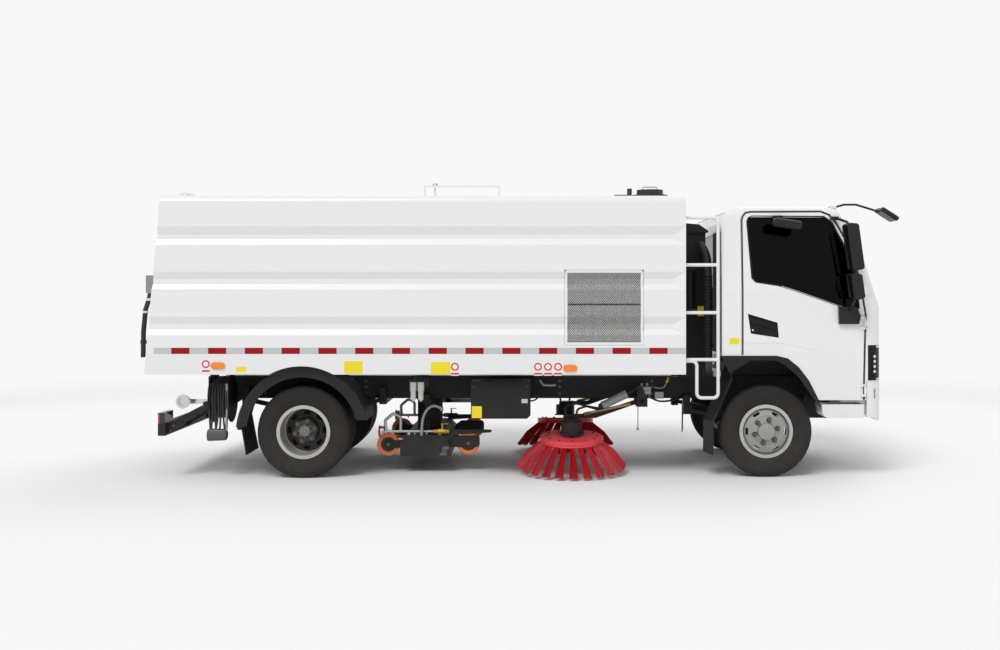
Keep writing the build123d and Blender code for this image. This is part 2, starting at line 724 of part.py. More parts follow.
def side_grooves():
    # the grooves fade out towards the front edge
    cuts = []
    side = -BODY_HALF
    floor = side + GROOVE_DEPTH
    rear = BODY_REAR_LOW - 200
    for high, mid_high, mid_low, low in GROOVES:
        tooth = front_prism(
            [(side - 30, high + 30), (side, high), (floor, mid_high), (floor, mid_low), (side, low),
             (side - 30, low - 30)],
            rear, BODY_FRONT,
        )
        fade = plan_prism(
            [(rear, side - 30), (rear, floor), (BODY_FRONT - 97, floor), (BODY_FRONT, side), (BODY_FRONT, side - 30)],
            low - 60, high + 60,
        )
        cuts.append(tooth & fade)
    return cuts


def door_slab(half, depth, spare):
    # slanted slab along the rear edge, with spare material behind, below and above it
    low, high = BODY_FLOOR - spare, BODY_TOP + spare
    profile = [
        (body_shear(low) - spare, low), (body_shear(high) - spare, high),
        (body_shear(high) + depth, high), (body_shear(low) + depth, low),
    ]
    return side_prism(profile, -half, half)


def hopper_shell():
    rear = BODY_REAR_LOW - 200
    solid = Pos(rear, 0, 0) * extrude(Plane.YZ * body_section(), amount=BODY_FRONT - rear)
    profile = [
        (body_shear(BODY_FLOOR), BODY_FLOOR), (body_shear(BODY_TOP), BODY_TOP),
        (BODY_FRONT, BODY_TOP), (BODY_FRONT, BODY_FLOOR),
    ]
    solid = solid & side_prism(profile, -BODY_HALF - 100, BODY_HALF + 100)
    solid -= door_slab(BODY_HALF - CHEEK, DOOR_DEPTH + DOOR_GAP, 100)
    inside = BODY_HALF - SIDE_WALL
    solid -= box(rear, BODY_FRONT - WALL, -inside, inside, BODY_FLOOR + 85, BODY_TOP - WALL)
    cuts = side_grooves()
    cuts.append(rod_y(REAR_AXLE, AXLE_Z, 546, -BODY_HALF - 100, -540))
    cuts.append(box(GRILLE_REAR, GRILLE_FRONT, -BODY_HALF - 100, -BODY_HALF + 62, GRILLE_LOW, GRILLE_HIGH))
    for cut in cuts:
        solid = less(solid, cut, left_of(cut))
    frame = [
        box(-2590, BODY_FRONT - 32, -365, -310, RAIL_HIGH + 5, BODY_FLOOR),
        box(TIP_X - 24, TIP_X + 24, -330, -300, TIP_Z, BODY_FLOOR),
        rod_y(TIP_X, TIP_Z, 24, -330, -300),
        rod_y(TIP_X, TIP_Z, 20, -380, -300),
    ]
    pin_x, pin_z = DOOR_PIVOT
    ear = side_prism(
        [(pin_x - 20, BODY_TOP), (pin_x + 100, BODY_TOP), (pin_x + 50, pin_z + 18), (pin_x - 20, pin_z + 28)], -740, -700
    )
    frame.append(ear - rod_y(pin_x, pin_z, 12 + FIT, -800, -600))
    for piece in frame:
        solid = fused(solid, *both(piece))
    return [solid]


def side_grilles():
    # a pressed sheet that follows the body grooves, slotted in two rows inside a flush frame
    x0, x1, z0, z1 = GRILLE_REAR + 2, GRILLE_FRONT - 2, GRILLE_LOW + 2, GRILLE_HIGH - 2
    edge = 22

    def pressed(near, far, start, end):
        line = [(0, z1)]
        for high, mid_high, mid_low, low in GROOVES[1:]:
            line += [(0, high), (GROOVE_DEPTH, mid_high), (GROOVE_DEPTH, mid_low), (0, low)]
        line.append((0, z0))
        outside = [(-BODY_HALF + near + y, z) for y, z in line]
        inside = [(-BODY_HALF + far + y, z) for y, z in reversed(line)]
        return front_prism(outside + inside, start, end)

    outline = make_face(Polyline((x0, z0), (x0, z1), (x1, z1), (x1, z0), close=True))
    outline = fillet(outline.vertices().sort_by(Axis.Y)[-2:], 24)
    outline = extrude(Plane.XZ * outline, amount=BODY_HALF + 50)
    window = box(x0 + edge, x1 - edge, -BODY_HALF - 100, -BODY_HALF + 90, z0 + edge, z1 - edge)
    frame = (pressed(0, 26, x0, x1) & outline) - window
    sheet = pressed(6, 10, x0 + edge - 4, x1 - edge + 4)
    pitch = 33
    count = int((x1 - x0 - 2 * edge) // pitch)
    first = (x0 + x1 - (count - 1) * pitch) / 2
    for low, high in ((z0 + edge + 10, GRILLE_SPLIT - 16), (GRILLE_SPLIT + 16, z1 - edge - 10)):
        for i in range(count):
            middle = first + i * pitch
            sheet -= box(middle - 10, middle + 10, -BODY_HALF - 10, -BODY_HALF + 50, low, high)
    sheet -= box(x0 + edge, x1 - edge, -BODY_HALF - 10, -BODY_HALF + 8, GRILLE_SPLIT - 9, GRILLE_SPLIT + 9)
    stays = [
        box(x0 + 6, x0 + edge, -BODY_HALF + 10, -BODY_HALF + 62, z0 + 6, z1 - 30),
        box(x1 - edge, x1 - 6, -BODY_HALF + 10, -BODY_HALF + 62, z0 + 6, z1 - 30),
    ]
    return both(fused(frame, sheet, *stays))


# Pressed ribs across the rear door: lower edge, upper edge
RIBS = [(1120, 1200), (1400, 1480), (1960, 2040)]


def rear_door():
    half = BODY_HALF - CHEEK - DOOR_GAP
    slab = door_slab(half, DOOR_DEPTH, 0)
    for low, high in RIBS:
        raised = [
            (body_shear(low) - 12, low + 12), (body_shear(high) - 12, high - 12), (body_shear(high), high),
            (body_shear(high) + 5, high), (body_shear(low) + 5, low), (body_shear(low), low),
        ]
        slab = fused(slab, side_prism(raised, -half + 120, half - 120))
    pin_x, pin_z = DOOR_PIVOT
    # the ears bridge the gap above the roof and stop short of the body's own ears
    ear = [
        (pin_x - 110, BODY_TOP - 2), (pin_x - 44, BODY_TOP - 2), (pin_x - 44, BODY_TOP + 5), (pin_x, BODY_TOP + 5),
        (pin_x, pin_z + 19), (pin_x - 30, pin_z + 19),
    ]
    hinge = [rod_y(pin_x, pin_z, 12, -780, -660)]
    for start, end in ((-698, -660), (-780, -742)):
        hinge += [side_prism(ear, start, end), rod_y(pin_x, pin_z, 19, start, end)]
    low_x = body_shear(BODY_FLOOR)
    latch = side_prism([(low_x - 22, 880), (low_x - 7, 1010), (low_x + 28, 1010), (low_x + 18, 880)], -940, -880)
    for piece in (*hinge, latch):
        slab = fused(slab, *both(piece))
    return [slab]


# Drain hose down the rear door: how far it stands off the door, z
HOSE_PATH = [(31, 1600), (40, 1480), (63, 1380), (64, 1200), (48, 990)]


def drain_hose():
    y = -BODY_HALF + 100
    door = rear_door()[0]
    hose = bent([(body_shear(z) - off, y, z) for off, z in HOSE_PATH], 20, 70)
    clamp = box(-3095, -2995, y - 26, y + 26, 1515, 1660) - door
    strap = box(-3143, -3050, y - 12, y + 12, 1100, 1130) - door
    cuffs = [rod_z(-3077, y, 25, 1452, 1474), rod_z(-3106, y, 25, 1352, 1370)]
    return [fused(hose, clamp, strap, *cuffs)]


def roof_fittings():
    y = -1000
    bar = BODY_TOP + 72
    rail = fused(
        box(-828, -204, y, y + 15, bar, bar + 16),
        box(-828, -812, y, y + 15, BODY_TOP, bar + 10),
        box(-220, -204, y, y + 15, BODY_TOP, bar + 10),
        rod_z(-739, y + 30, 9, BODY_TOP, bar + 6),
        rod_z(-739, y + 30, 18, bar + 5, BODY_TOP + 105),
        box(-748, -730, y, y + 30, bar - 8, bar + 4),
    )
    cap = fused(rod_z(1040, -800, 150, BODY_TOP, BODY_TOP + 22), rod_z(1040, -800, 110, BODY_TOP + 22, BODY_TOP + 64))
    low, high = BODY_TOP + 60, BODY_TOP + 92
    grip = bent([(980, -800, low), (980, -800, high), (1100, -800, high), (1100, -800, low)], 7, 12)
    pipe = fused(box(744, 880, -860, -740, BODY_TOP, BODY_TOP + 22), rod_z(870, -800, 20, BODY_TOP + 22, BODY_TOP + 77))
    return [rail, fused(cap, grip), pipe]


def ladder():
    tube = 14
    y = -BODY_HALF + 70
    reach = BODY_FRONT + 271
    rail = bent(
        [(BODY_FRONT, y, 2130), (reach, y, 2130), (reach, y, 660), (BODY_FRONT + 98, y, 660), (BODY_FRONT + 98, y, 960),
         (BODY_FRONT, y, 960)],
        tube, 40,
    )
    rungs = [rod_x(y, z, tube, BODY_FRONT, reach) for z in (1744, 1355, 972)]
    return [fused(rail, *rungs)]


def marker_lamps():
    lamps = []
    for x, z in ((-2488, 927), (363, 907)):
        lens = Pos(x, -BODY_HALF, z) * extrude(Plane.XZ * SlotOverall(114, 54), amount=12)
        lamps += both(lens)
    return lamps


# Wheels, turned about their own axle
def tyre(mid):
    a = TYRE_HALF
    half = [
        (a - 27, RIM_SEAT + 0.3), (a - 27, RIM_SEAT + 24), (a - 9, RIM_SEAT + 46), (a, RIM_SEAT + 76), (a, TYRE_R - 60),
        (a - 5, TYRE_R - 30), (a - 12, TYRE_R - 14), (a - 27, TYRE_R - 4), (a - 67, TYRE_R),
    ]
    left = [(mid - x, r) for x, r in half]
    right = [(mid + x, r) for x, r in reversed(half)]
    return ring_y(left + right)


def rim_barrel(mid):
    seat = TYRE_HALF - 27
    lip = RIM_SEAT + 14
    base = RIM_SEAT - 14
    return ring_y([
        (mid - seat - 10, base), (mid - seat - 10, lip), (mid - seat, lip), (mid - seat, RIM_SEAT),
        (mid + seat, RIM_SEAT), (mid + seat, lip), (mid + seat + 10, lip), (mid + seat + 10, base),
    ])


def vents(count, radius, length, width, y0, y1):
    slot = Pos(radius, 0) * Rot(0, 0, 90) * SlotOverall(length, width)
    one = Pos(0, y1, 0) * extrude(Plane.XZ * slot, amount=y1 - y0)
    return [Rot(0, 360 * i / count, 0) * one for i in range(count)]


# Turned sections of the wheel discs: along the axle, radius
FRONT_DISC = [
    (-897, 196), (-917, 174), (-928, 134), (-926, 116), (-934, 74), (-958, 66), (-962, 30), (-962, 0),
    (-950, 0), (-950, 40 + FIT), (-812, 40 + FIT), (-812, 85), (-905, 95), (-912, 134), (-903, 168), (-883, 196),
]
REAR_DISC = [
    (-800, 196), (-800, 170), (-812, 110), (-840, 98), (-898, 92), (-912, 70), (-912, 0),
    (-900, 0), (-900, 45 + FIT), (-600, 45 + FIT), (-600, 92), (-770, 104), (-782, 146), (-775, 170), (-745, 178),
    (-745, 196),
]


def front_wheel():
    rim = fused(rim_barrel(-FRONT_TRACK), ring_y(FRONT_DISC))
    return [tyre(-FRONT_TRACK)], less(rim, *vents(6, 157, 62, 24, -1000, -860))


def rear_wheel():
    join = ring_y([(-830, 190), (-830, 196), (-740, 196), (-740, 190)])
    rim = fused(*[rim_barrel(-track) for track in REAR_TRACKS], ring_y(REAR_DISC), join)
    return [tyre(-track) for track in REAR_TRACKS], less(rim, *vents(8, 146, 58, 32, -830, -760))


def knuckle_right():
    x = FRONT_AXLE
    king_y = -690
    plates = []
    for low in (306, 422):
        plates += [box(x - 34, x + 34, -800, king_y, low, low + 24), rod_z(x, king_y, 34, low, low + 24)]
    return [fused(
        *plates,
        box(x - 45, x + 45, -805, -772, 306, 446),
        rod_z(x, king_y, 20, 306, 446),
        rod_y(x, AXLE_Z, 40, -938, -800),
    )]


# Side brush: arm with its motor, disc and tufts, all leaning outwards
def tilted(shape):
    return Pos(*BRUSH_AT) * Rot(BRUSH_TILT, 0, 0) * shape


def brush_arm_right():
    x, z = BRUSH_PIVOT
    bar = [
        (x + 20, z - 20), (x + 20, z + 20), (x - 20, z + 20), (x - 400, z - 108), (x - 590, z - 114),
        (x - 590, z - 148), (x - 390, z - 148), (x - 20, z - 20),
    ]
    arm = fused(side_prism(bar, -606, -594), rod_y(x, z, 30, -606, -566), rod_y(x, z, 15, -638, -545))
    cross = box(330, 470, -700, -594, 462, 484)
    motor = tilted(fused(
        Pos(0, 0, 46) * Cylinder(104, 12), Pos(0, 0, 92) * Cylinder(88, 104), Pos(0, 0, 152) * Cylinder(60, 20),
        Pos(0, 0, 15) * Cylinder(20, 60),
    ))
    lug = fused(
        side_prism([(x - 380, 480), (x - 300, 520), (x - 326, 574), (x - 364, 574)], -606, -594),
        rod_y(x - 345, 556, 20, -664, -594),
    )
    cylinder = fused(
        rod((x - 340, -640, 558), (x - 125, -640, 662), 32),
        rod((x - 130, -640, 660), (x - 32, -640, 706), 13),
        rod_y(x - 24, 708, 22, -652, -628),
    )
    strut = rod((494, -620, 486), (900, -620, 575), 11)
    hoses = [
        bent([(350, -735, 450), (330, -735, 560), (430, -690, 585), (640, -612, 520)], 9, 40),
        bent([(420, -735, 450), (440, -725, 540), (520, -680, 560), (660, -612, 530)], 9, 35),
    ]
    return [fused(arm, cross, motor, lug, cylinder, strut, *hoses)]


def brush_disc_right():
    disc = Cylinder(BRUSH_R, 34) - Cylinder(20 + FIT, 80)
    return [tilted(chamfer(disc.edges().filter_by(GeomType.CIRCLE).group_by(SortBy.RADIUS)[-1], 5))]


def brush_bristles_right():
    out, drop = 225, 226
    reach = math.hypot(out, drop)
    lean = math.degrees(math.atan2(out, drop))
    tuft = polygon([(-15, 0), (15, 0), (31, -reach), (-31, -reach)])
    tuft = extrude(Plane.YZ * tuft, amount=-12)
    above = Pos(0, 0, 30) * Box(1200, 1200, 94)
    parts = []
    for i in range(TUFTS):
        one = Rot(0, 0, 360 * i / TUFTS) * Pos(BRUSH_R - 30, 0, -17) * Rot(0, -lean, 0) * tuft
        parts.append(one - above)
    ring = Pos(0, 0, -23) * (Cylinder(BRUSH_R - 10, 12) - Cylinder(BRUSH_R - 50, 40))
    return [tilted(fused(ring, *parts))]


# Suction nozzle: an open box between two skids, its duct and the forks of four casters
def suction_nozzle():
    half = NOZZLE_HALF
    body = fused(side_prism(NOZZLE, -half, half), *both(rod_z(NOZZLE_X, -430, 30, 300, 420)))
    front_x, front_z = CASTER_FRONT
    rear_x, rear_z = CASTER_REAR
    front_fork = [
        (-660, 208), (front_x + 75, 208), (front_x + 95, 228), (front_x + 95, 286), (front_x + 77, 304), (-600, 304),
        (-660, 262),
    ]
    rear_fork = [
        (-1040, 200), (rear_x - 20, 200), (rear_x - 30, 215), (rear_x - 30, 250), (rear_x - 14, 266), (-1040, 266),
    ]
    fittings = []
    for outer_y in (-578, -629):
        fittings += [side_prism(front_fork, outer_y, outer_y + 6), side_prism(rear_fork, outer_y, outer_y + 6)]
    arm = [(-740, 306), (-700, 359), (-292, 359), (-280, 349), (-292, 335), (-560, 318)]
    fittings += [
        rod_y(front_x, front_z, 12, -629, -572),
        rod_y(rear_x, rear_z, 12, -629, -572),
        side_prism(arm, -652, -640),
    ]
    for fitting in fittings:
        body = fused(body, *both(fitting))
    inside = side_prism([(x, z - 12) for x, z in NOZZLE], -half + 12, half - 12)
    inside = inside & box(-1041, -661, -half + 12, half - 12, 100, 306)
    body = fused(body, rod_z(NOZZLE_X, 0, 112, 310, 740)) - inside
    return [less(body, rod_z(NOZZLE_X, 0, 104, 200, 800), *both(rod_z(NOZZLE_X, -430, 16 + FIT, 100, 500)))]


def caster_right(x, z):
    section = [
        (-621, 12 + FIT), (-621, 40), (-615, 44), (-615, 62), (-621, 66), (-621, CASTER_R - 6), (-615, CASTER_R),
        (-586, CASTER_R), (-580, CASTER_R - 6), (-580, 66), (-586, 62), (-586, 44), (-580, 40), (-580, 12 + FIT),
    ]
    return [Pos(x, 0, z) * ring_y(section)]


def spray_bars():
    y, z = -680, 348
    pipe = [(-1172, y, z), (-1180, y, z + 92), (-1110, y, z + 152), (-1050, y, z + 122), (-1050, y, z - 8)]
    bar = fused(
        rod_x(y, z, 12, -1190, -700),
        rod_x(y, z, 44, -1222, -1190),
        rod_x(y, z, 20, -771, -640),
        box(-990, -970, y - 10, y + 10, z - 30, z),
        box(-730, -710, y - 10, y + 10, z - 30, z),
        bent(pipe, 13, 30),
        *[rod_z(x, y, 7, z - 26, z) for x in (-1110, -930, -830)],
    )
    return both(bar)


def from_axle(shapes):
    return [Pos(FRONT_AXLE, 0, 0) * shape for shape in shapes]


def wheel_at(x, shapes):
    return [Pos(x, 0, AXLE_Z) * shape for shape in shapes]


def mirrored(shapes):
    return [left_of(shape) for shape in shapes]


# Nodes by name
wall = cab_wall()
sheet = glass_sheet()
leaf = from_axle([door_right(wall)])
pane = from_axle((sheet & side_prism(WINDOW, -CAB_HALF - 290, -CAB_HALF + 310)).solids())
outer_mirrors = from_axle([mirrors_right()])
front_tyre, front_rim = front_wheel()
rear_tyres, rear_rim = rear_wheel()

nodes = {
    "chassis_frame": [chassis_frame()],
    "axles": axles(),
    "leaf_springs": leaf_springs(),
    "engine_block": from_axle(engine_block()),
    "cab_shell": from_axle([cab_shell(wall)]),
    "cab_glass": from_axle([sheet & screen_space(), sheet & rear_window_space()]),
    "seats": from_axle(seats()),
    "dashboard": from_axle(dashboard()),
    "front_bumper": from_axle(front_bumper()),
    "headlamps": from_axle(headlamps()),
    "front_grille": from_axle([front_grille()]),
    "step_sills": from_axle(step_sills()),
    "wheel_arch_trims": from_axle(wheel_arch_trims()),
    "lookdown_mirror": from_axle(lookdown_mirror()),
    "rear_mudguards": rear_mudguards(),
    "underrun_guard": underrun_guard(),
    "tail_lamps": tail_lamps(),
    "water_inlet": water_inlet(),
    "hose_reel": hose_reel(),
    "electric_cabinet": electric_cabinet(),
    "water_filters": water_filters(),
    "intake_stack": intake_stack(),
    "fuel_tank": fuel_tank(),
    "hopper_shell": hopper_shell(),
    "side_grilles": side_grilles(),
    "roof_fittings": roof_fittings(),
    "ladder": ladder(),
    "marker_lamps": marker_lamps(),
    "rear_door": rear_door(),
    "drain_hose": drain_hose(),
    "door_right": leaf,
    "door_left": mirrored(leaf),
    "door_glass_right": pane,
    "door_glass_left": mirrored(pane),
    "mirrors_right": outer_mirrors + from_axle([kerb_mirror()]),
    "mirrors_left": mirrored(outer_mirrors),
    "knuckle_right": knuckle_right(),
    "knuckle_left": mirrored(knuckle_right()),
    "tyre_front_right": wheel_at(FRONT_AXLE, front_tyre),
    "tyre_front_left": wheel_at(FRONT_AXLE, mirrored(front_tyre)),
    "rim_front_right": wheel_at(FRONT_AXLE, [front_rim]),
    "rim_front_left": wheel_at(FRONT_AXLE, mirrored([front_rim])),
    "tyres_rear_right": wheel_at(REAR_AXLE, rear_tyres),
    "tyres_rear_left": wheel_at(REAR_AXLE, mirrored(rear_tyres)),
    "rim_rear_right": wheel_at(REAR_AXLE, [rear_rim]),
    "rim_rear_left": wheel_at(REAR_AXLE, mirrored([rear_rim])),
    "brush_arm_right": brush_arm_right(),
    "brush_arm_left": mirrored(brush_arm_right()),
    "brush_disc_right": brush_disc_right(),
    "brush_disc_left": mirrored(brush_disc_right()),
    "brush_bristles_right": brush_bristles_right(),
    "brush_bristles_left": mirrored(brush_bristles_right()),
    "suction_nozzle": suction_nozzle(),
    "spray_bars": spray_bars(),
    "caster_front_right": caster_right(*CASTER_FRONT),
    "caster_front_left": mirrored(caster_right(*CASTER_FRONT)),
    "caster_rear_right": caster_right(*CASTER_REAR),
    "caster_rear_left": mirrored(caster_right(*CASTER_REAR)),
}

os.makedirs("parts", exist_ok=True)
for name, shapes in nodes.items():
    solids = []
    for shape in shapes:
        solids += shape.solids()
    whole = solids[0] if len(solids) == 1 else Compound(children=solids)
    whole.label = name
    export_step(whole, f"parts/{name}.step")
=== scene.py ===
import bmesh
import bpy
import random
from math import ceil, cos, exp, hypot, radians, sin, tau
from mathutils import Matrix, Vector
from mathutils.bvhtree import BVHTree


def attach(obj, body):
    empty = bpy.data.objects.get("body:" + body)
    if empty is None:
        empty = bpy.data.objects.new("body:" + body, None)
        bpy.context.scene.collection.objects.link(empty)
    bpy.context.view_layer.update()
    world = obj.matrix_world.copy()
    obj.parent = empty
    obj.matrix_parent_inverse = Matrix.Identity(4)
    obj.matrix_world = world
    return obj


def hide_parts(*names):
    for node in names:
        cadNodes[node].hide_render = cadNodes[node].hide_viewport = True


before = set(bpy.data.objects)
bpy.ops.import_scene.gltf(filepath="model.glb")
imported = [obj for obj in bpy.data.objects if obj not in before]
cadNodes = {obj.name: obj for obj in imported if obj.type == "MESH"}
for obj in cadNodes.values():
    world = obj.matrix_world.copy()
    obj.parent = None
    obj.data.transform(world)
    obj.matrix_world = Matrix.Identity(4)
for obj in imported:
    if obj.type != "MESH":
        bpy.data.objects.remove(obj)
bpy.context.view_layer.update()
scene = bpy.context.scene
hands = ((-1, "right"), (1, "left"))
alongX = (1, 0, 0)
alongY = (0, 1, 0)
alongZ = (0, 0, 1)
print("frame loaded:", len(cadNodes), "nodes")


# Meshes
def rounded(form, edges, width, steps=2):
    if width:
        bmesh.ops.bevel(form, geom=edges, offset=width, segments=steps, profile=0.5, affect="EDGES")


def toMesh(form, merge=1e-6):
    # doubles merged and normals turned outwards, or left as they are with merge None
    if merge:
        bmesh.ops.remove_doubles(form, verts=form.verts, dist=merge)
        bmesh.ops.recalc_face_normals(form, faces=form.faces)
    mesh = bpy.data.meshes.new("piece")
    form.to_mesh(mesh)
    form.free()
    return mesh


def solid(points, faces, merge=1e-6, bevel=0.0):
    form = bmesh.new()
    corners = [form.verts.new(point) for point in points]
    for face in faces:
        form.faces.new([corners[index] for index in face])
    if bevel:
        bmesh.ops.recalc_face_normals(form, faces=form.faces)
        rounded(form, form.edges[:], bevel)
    return toMesh(form, merge)


def joined(meshes):
    form = bmesh.new()
    for mesh in meshes:
        form.from_mesh(mesh)
        bpy.data.meshes.remove(mesh)
    return toMesh(form, None)


def mirrored(mesh):
    other = mesh.copy()
    other.transform(Matrix.Diagonal((1, -1, 1, 1)))
    other.flip_normals()
    return other


def block(low, high, bevel=0.0, steps=2):
    form = bmesh.new()
    low, high = Vector(low), Vector(high)
    size = Matrix.Diagonal((*(high - low), 1))
    bmesh.ops.create_cube(form, size=1, matrix=Matrix.Translation((low + high) / 2) @ size)
    rounded(form, form.edges[:], bevel, steps)
    return toMesh(form)


def drum(centre, axis, radius, depth, corners=32, bevel=0.0):
    form = bmesh.new()
    turn = Vector(alongZ).rotation_difference(Vector(axis)).to_matrix().to_4x4()
    bmesh.ops.create_cone(
        form, cap_ends=True, segments=corners, radius1=radius, radius2=radius, depth=depth,
        matrix=Matrix.Translation(centre) @ turn,
    )
    rims = [edge for edge in form.edges if any(len(face.verts) > 4 for face in edge.link_faces)]
    rounded(form, rims, bevel)
    return toMesh(form)


def between(start, end, radius, corners=32, bevel=0.0):
    start, end = Vector(start), Vector(end)
    return drum((start + end) / 2, end - start, radius, (end - start).length, corners, bevel)


def rungs(size, count, first=0, closed=False):
    # faces between rings of points that follow one another
    faces = []
    for i in range(count if closed else count - 1):
        here, there = first + i * size, first + (i + 1) % count * size
        faces += [(here + k, here + (k + 1) % size, there + (k + 1) % size, there + k) for k in range(size)]
    return faces


def band(rows, closed, merge=1e-7):
    # closed sections joined in a row or a ring
    size = len(rows[0])
    points = [point for row in rows for point in row]
    faces = rungs(size, len(rows), closed=closed)
    if not closed:
        faces += [range(size), range(len(points) - size, len(points))]
    return solid(points, faces, merge)


def lathe(section, centre, axis, steps):
    # section: (along the axis, radius), turned about the axis
    rows = []
    for step in range(steps):
        row = []
        for along, radius in section:
            a, b = radius * cos(tau * step / steps), radius * sin(tau * step / steps)
            spot = {"X": (along, a, b), "Y": (a, along, b), "Z": (a, b, along)}[axis]
            row.append(Vector(centre) + Vector(spot))
        rows.append(row)
    return band(rows, True, 1e-5)


def prism(outline, near, far, bevel=0.0):
    # outline in X and Z carried across from near to far
    count = len(outline)
    points = [(x, y, z) for y in (near, far) for x, z in outline]
    return solid(points, [range(count), range(count, 2 * count)] + rungs(count, 2), bevel=bevel)


def evaluated(holder):
    mesh = bpy.data.meshes.new_from_object(holder.evaluated_get(bpy.context.evaluated_depsgraph_get()))
    holder.modifiers.clear()
    bpy.data.objects.remove(holder)
    return mesh


def newObject(name, data):
    holder = bpy.data.objects.new(name, data)
    scene.collection.objects.link(holder)
    return holder


def tube(points, radius, corners, smoothness):
    curve = bpy.data.curves.new("route", "CURVE")
    curve.dimensions = "3D"
    spline = curve.splines.new("NURBS")
    spline.points.add(len(points) - 1)
    for spot, point in zip(points, spline.points):
        point.co = (*spot, 1)
    spline.order_u = 3
    spline.use_endpoint_u = True
    spline.resolution_u = smoothness
    curve.bevel_depth = radius
    curve.bevel_resolution = corners // 4 - 1
    curve.use_fill_caps = True
    return evaluated(newObject("route", curve))


def paint(mesh, material):
    mesh.materials.clear()
    mesh.materials.append(bpy.data.materials[material])


def place(name, parts, body, material, smooth=False):
    # one piece from its parts, or with * in its name the right one and its mirror image
    mesh = joined(parts)
    paint(mesh, material)
    if smooth:
        mesh.shade_smooth()
    pieces = []
    for hand, side in hands if "*" in name else hands[:1]:
        piece = newObject(name.replace("*", side), mesh if hand < 0 else mirrored(mesh))
        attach(piece, body.replace("*", side))
        pieces.append(piece)
    return pieces


# Nodes and groups
def addNode(tree, kind, inputs=None, **settings):
    node = tree.nodes.new(kind)
    for label, value in settings.items():
        setattr(node, label, value)
    for label, value in (inputs or {}).items():
        if isinstance(value, bpy.types.NodeSocket):
            tree.links.new(value, node.inputs[label])
        elif value is not None:
            node.inputs[label].default_value = value
    return node


def calc(tree, operation, a, b=None, **settings):
    return addNode(tree, "ShaderNodeMath", {0: a, 1: b}, operation=operation, **settings).outputs[0]


def vectorCalc(tree, operation, a, b=None):
    return addNode(tree, "ShaderNodeVectorMath", {0: a, 1: b}, operation=operation).outputs


def mixed(tree, factor, first, second, colour=False):
    if colour:
        return addNode(tree, "ShaderNodeMix", {0: factor, 6: first, 7: second}, data_type="RGBA").outputs[2]
    return addNode(tree, "ShaderNodeMix", {0: factor, 2: first, 3: second}).outputs[0]


def socketKind(value):
    if value is None:
        return "Object"
    if isinstance(value, tuple):
        return "Vector" if len(value) == 3 else "Color"
    return "Int" if isinstance(value, int) else "Float"


def newGroup(name, inputs, outputs, kind="ShaderNodeTree"):
    # inputs: default values by name, None for an object; outputs: kinds by name
    group = bpy.data.node_groups.new(name, kind)
    for label, value in inputs.items():
        socketType = "NodeSocket" + socketKind(value)
        socket = group.interface.new_socket(label, in_out="INPUT", socket_type=socketType)
        if value is not None:
            socket.default_value = value
    for label, output in outputs.items():
        group.interface.new_socket(label, in_out="OUTPUT", socket_type="NodeSocket" + output)
    return group, group.nodes.new("NodeGroupInput").outputs, group.nodes.new("NodeGroupOutput").inputs


def makeRoadDust():
    # dust that thickens from High down to Low, broken up by two sizes of noise
    group, given, end = newGroup(
        "roadDust",
        {
            "Coordinate": (0, 0, 0), "Base": (0.8, 0.8, 0.8, 1), "Dust": (0.3, 0.27, 0.23, 1), "Low": 0.2,
            "High": 1.2, "Amount": 0.5, "Grain": 6.0,
        },
        {"Color": "Color", "Mask": "Float"},
    )
    split = addNode(group, "ShaderNodeSeparateXYZ", {0: given["Coordinate"]})
    height = addNode(group, "ShaderNodeMapRange", {
        "Value": split.outputs["Z"], "From Min": given["Low"], "From Max": given["High"], "To Min": 1,
        "To Max": 0,
    })
    masks = []
    for factor, detail, low, high in ((1.0, 6.0, 0.35, 0.68), (7.0, 3.0, 0.3, 0.75)):
        scale = calc(group, "MULTIPLY", given["Grain"], factor)
        noise = addNode(group, "ShaderNodeTexNoise", {
            "Vector": given["Coordinate"], "Scale": scale, "Detail": detail,
        })
        spread = {"Value": noise.outputs["Fac"], "From Min": low, "From Max": high}
        masks.append(addNode(group, "ShaderNodeMapRange", spread).outputs[0])
    broken = calc(group, "MULTIPLY", masks[0], calc(group, "MULTIPLY", masks[1], 0.6))
    strength = calc(group, "MULTIPLY", calc(group, "ADD", broken, 0.4), given["Amount"])
    mask = calc(group, "MULTIPLY", height.outputs[0], strength, use_clamp=True)
    group.links.new(mixed(group, mask, given["Base"], given["Dust"], True), end["Color"])
    group.links.new(mask, end["Mask"])
    return group


def folded(group, coordinate):
    # X and Z as they are, Y as the distance from the middle of the truck
    split = addNode(group, "ShaderNodeSeparateXYZ", {0: coordinate})
    return split.outputs["X"], calc(group, "ABSOLUTE", split.outputs["Y"]), split.outputs["Z"]


def makeBoxZone():
    # 1 inside a box, on both sides of the truck
    group, given, end = newGroup(
        "boxZone", {"Coordinate": (0, 0, 0), "Low": (0, 0, 0), "High": (1, 1, 1)}, {"Mask": "Float"},
    )
    x, y, z = folded(group, given["Coordinate"])
    spot = addNode(group, "ShaderNodeCombineXYZ", {0: x, 1: y, 2: z}).outputs[0]
    above = vectorCalc(group, "SUBTRACT", spot, given["Low"])[0]
    below = vectorCalc(group, "SUBTRACT", given["High"], spot)[0]
    room = addNode(group, "ShaderNodeSeparateXYZ", {0: vectorCalc(group, "MINIMUM", above, below)[0]}).outputs
    least = calc(group, "MINIMUM", calc(group, "MINIMUM", room["X"], room["Y"]), room["Z"])
    group.links.new(calc(group, "GREATER_THAN", least, 0.0), end["Mask"])
    return group


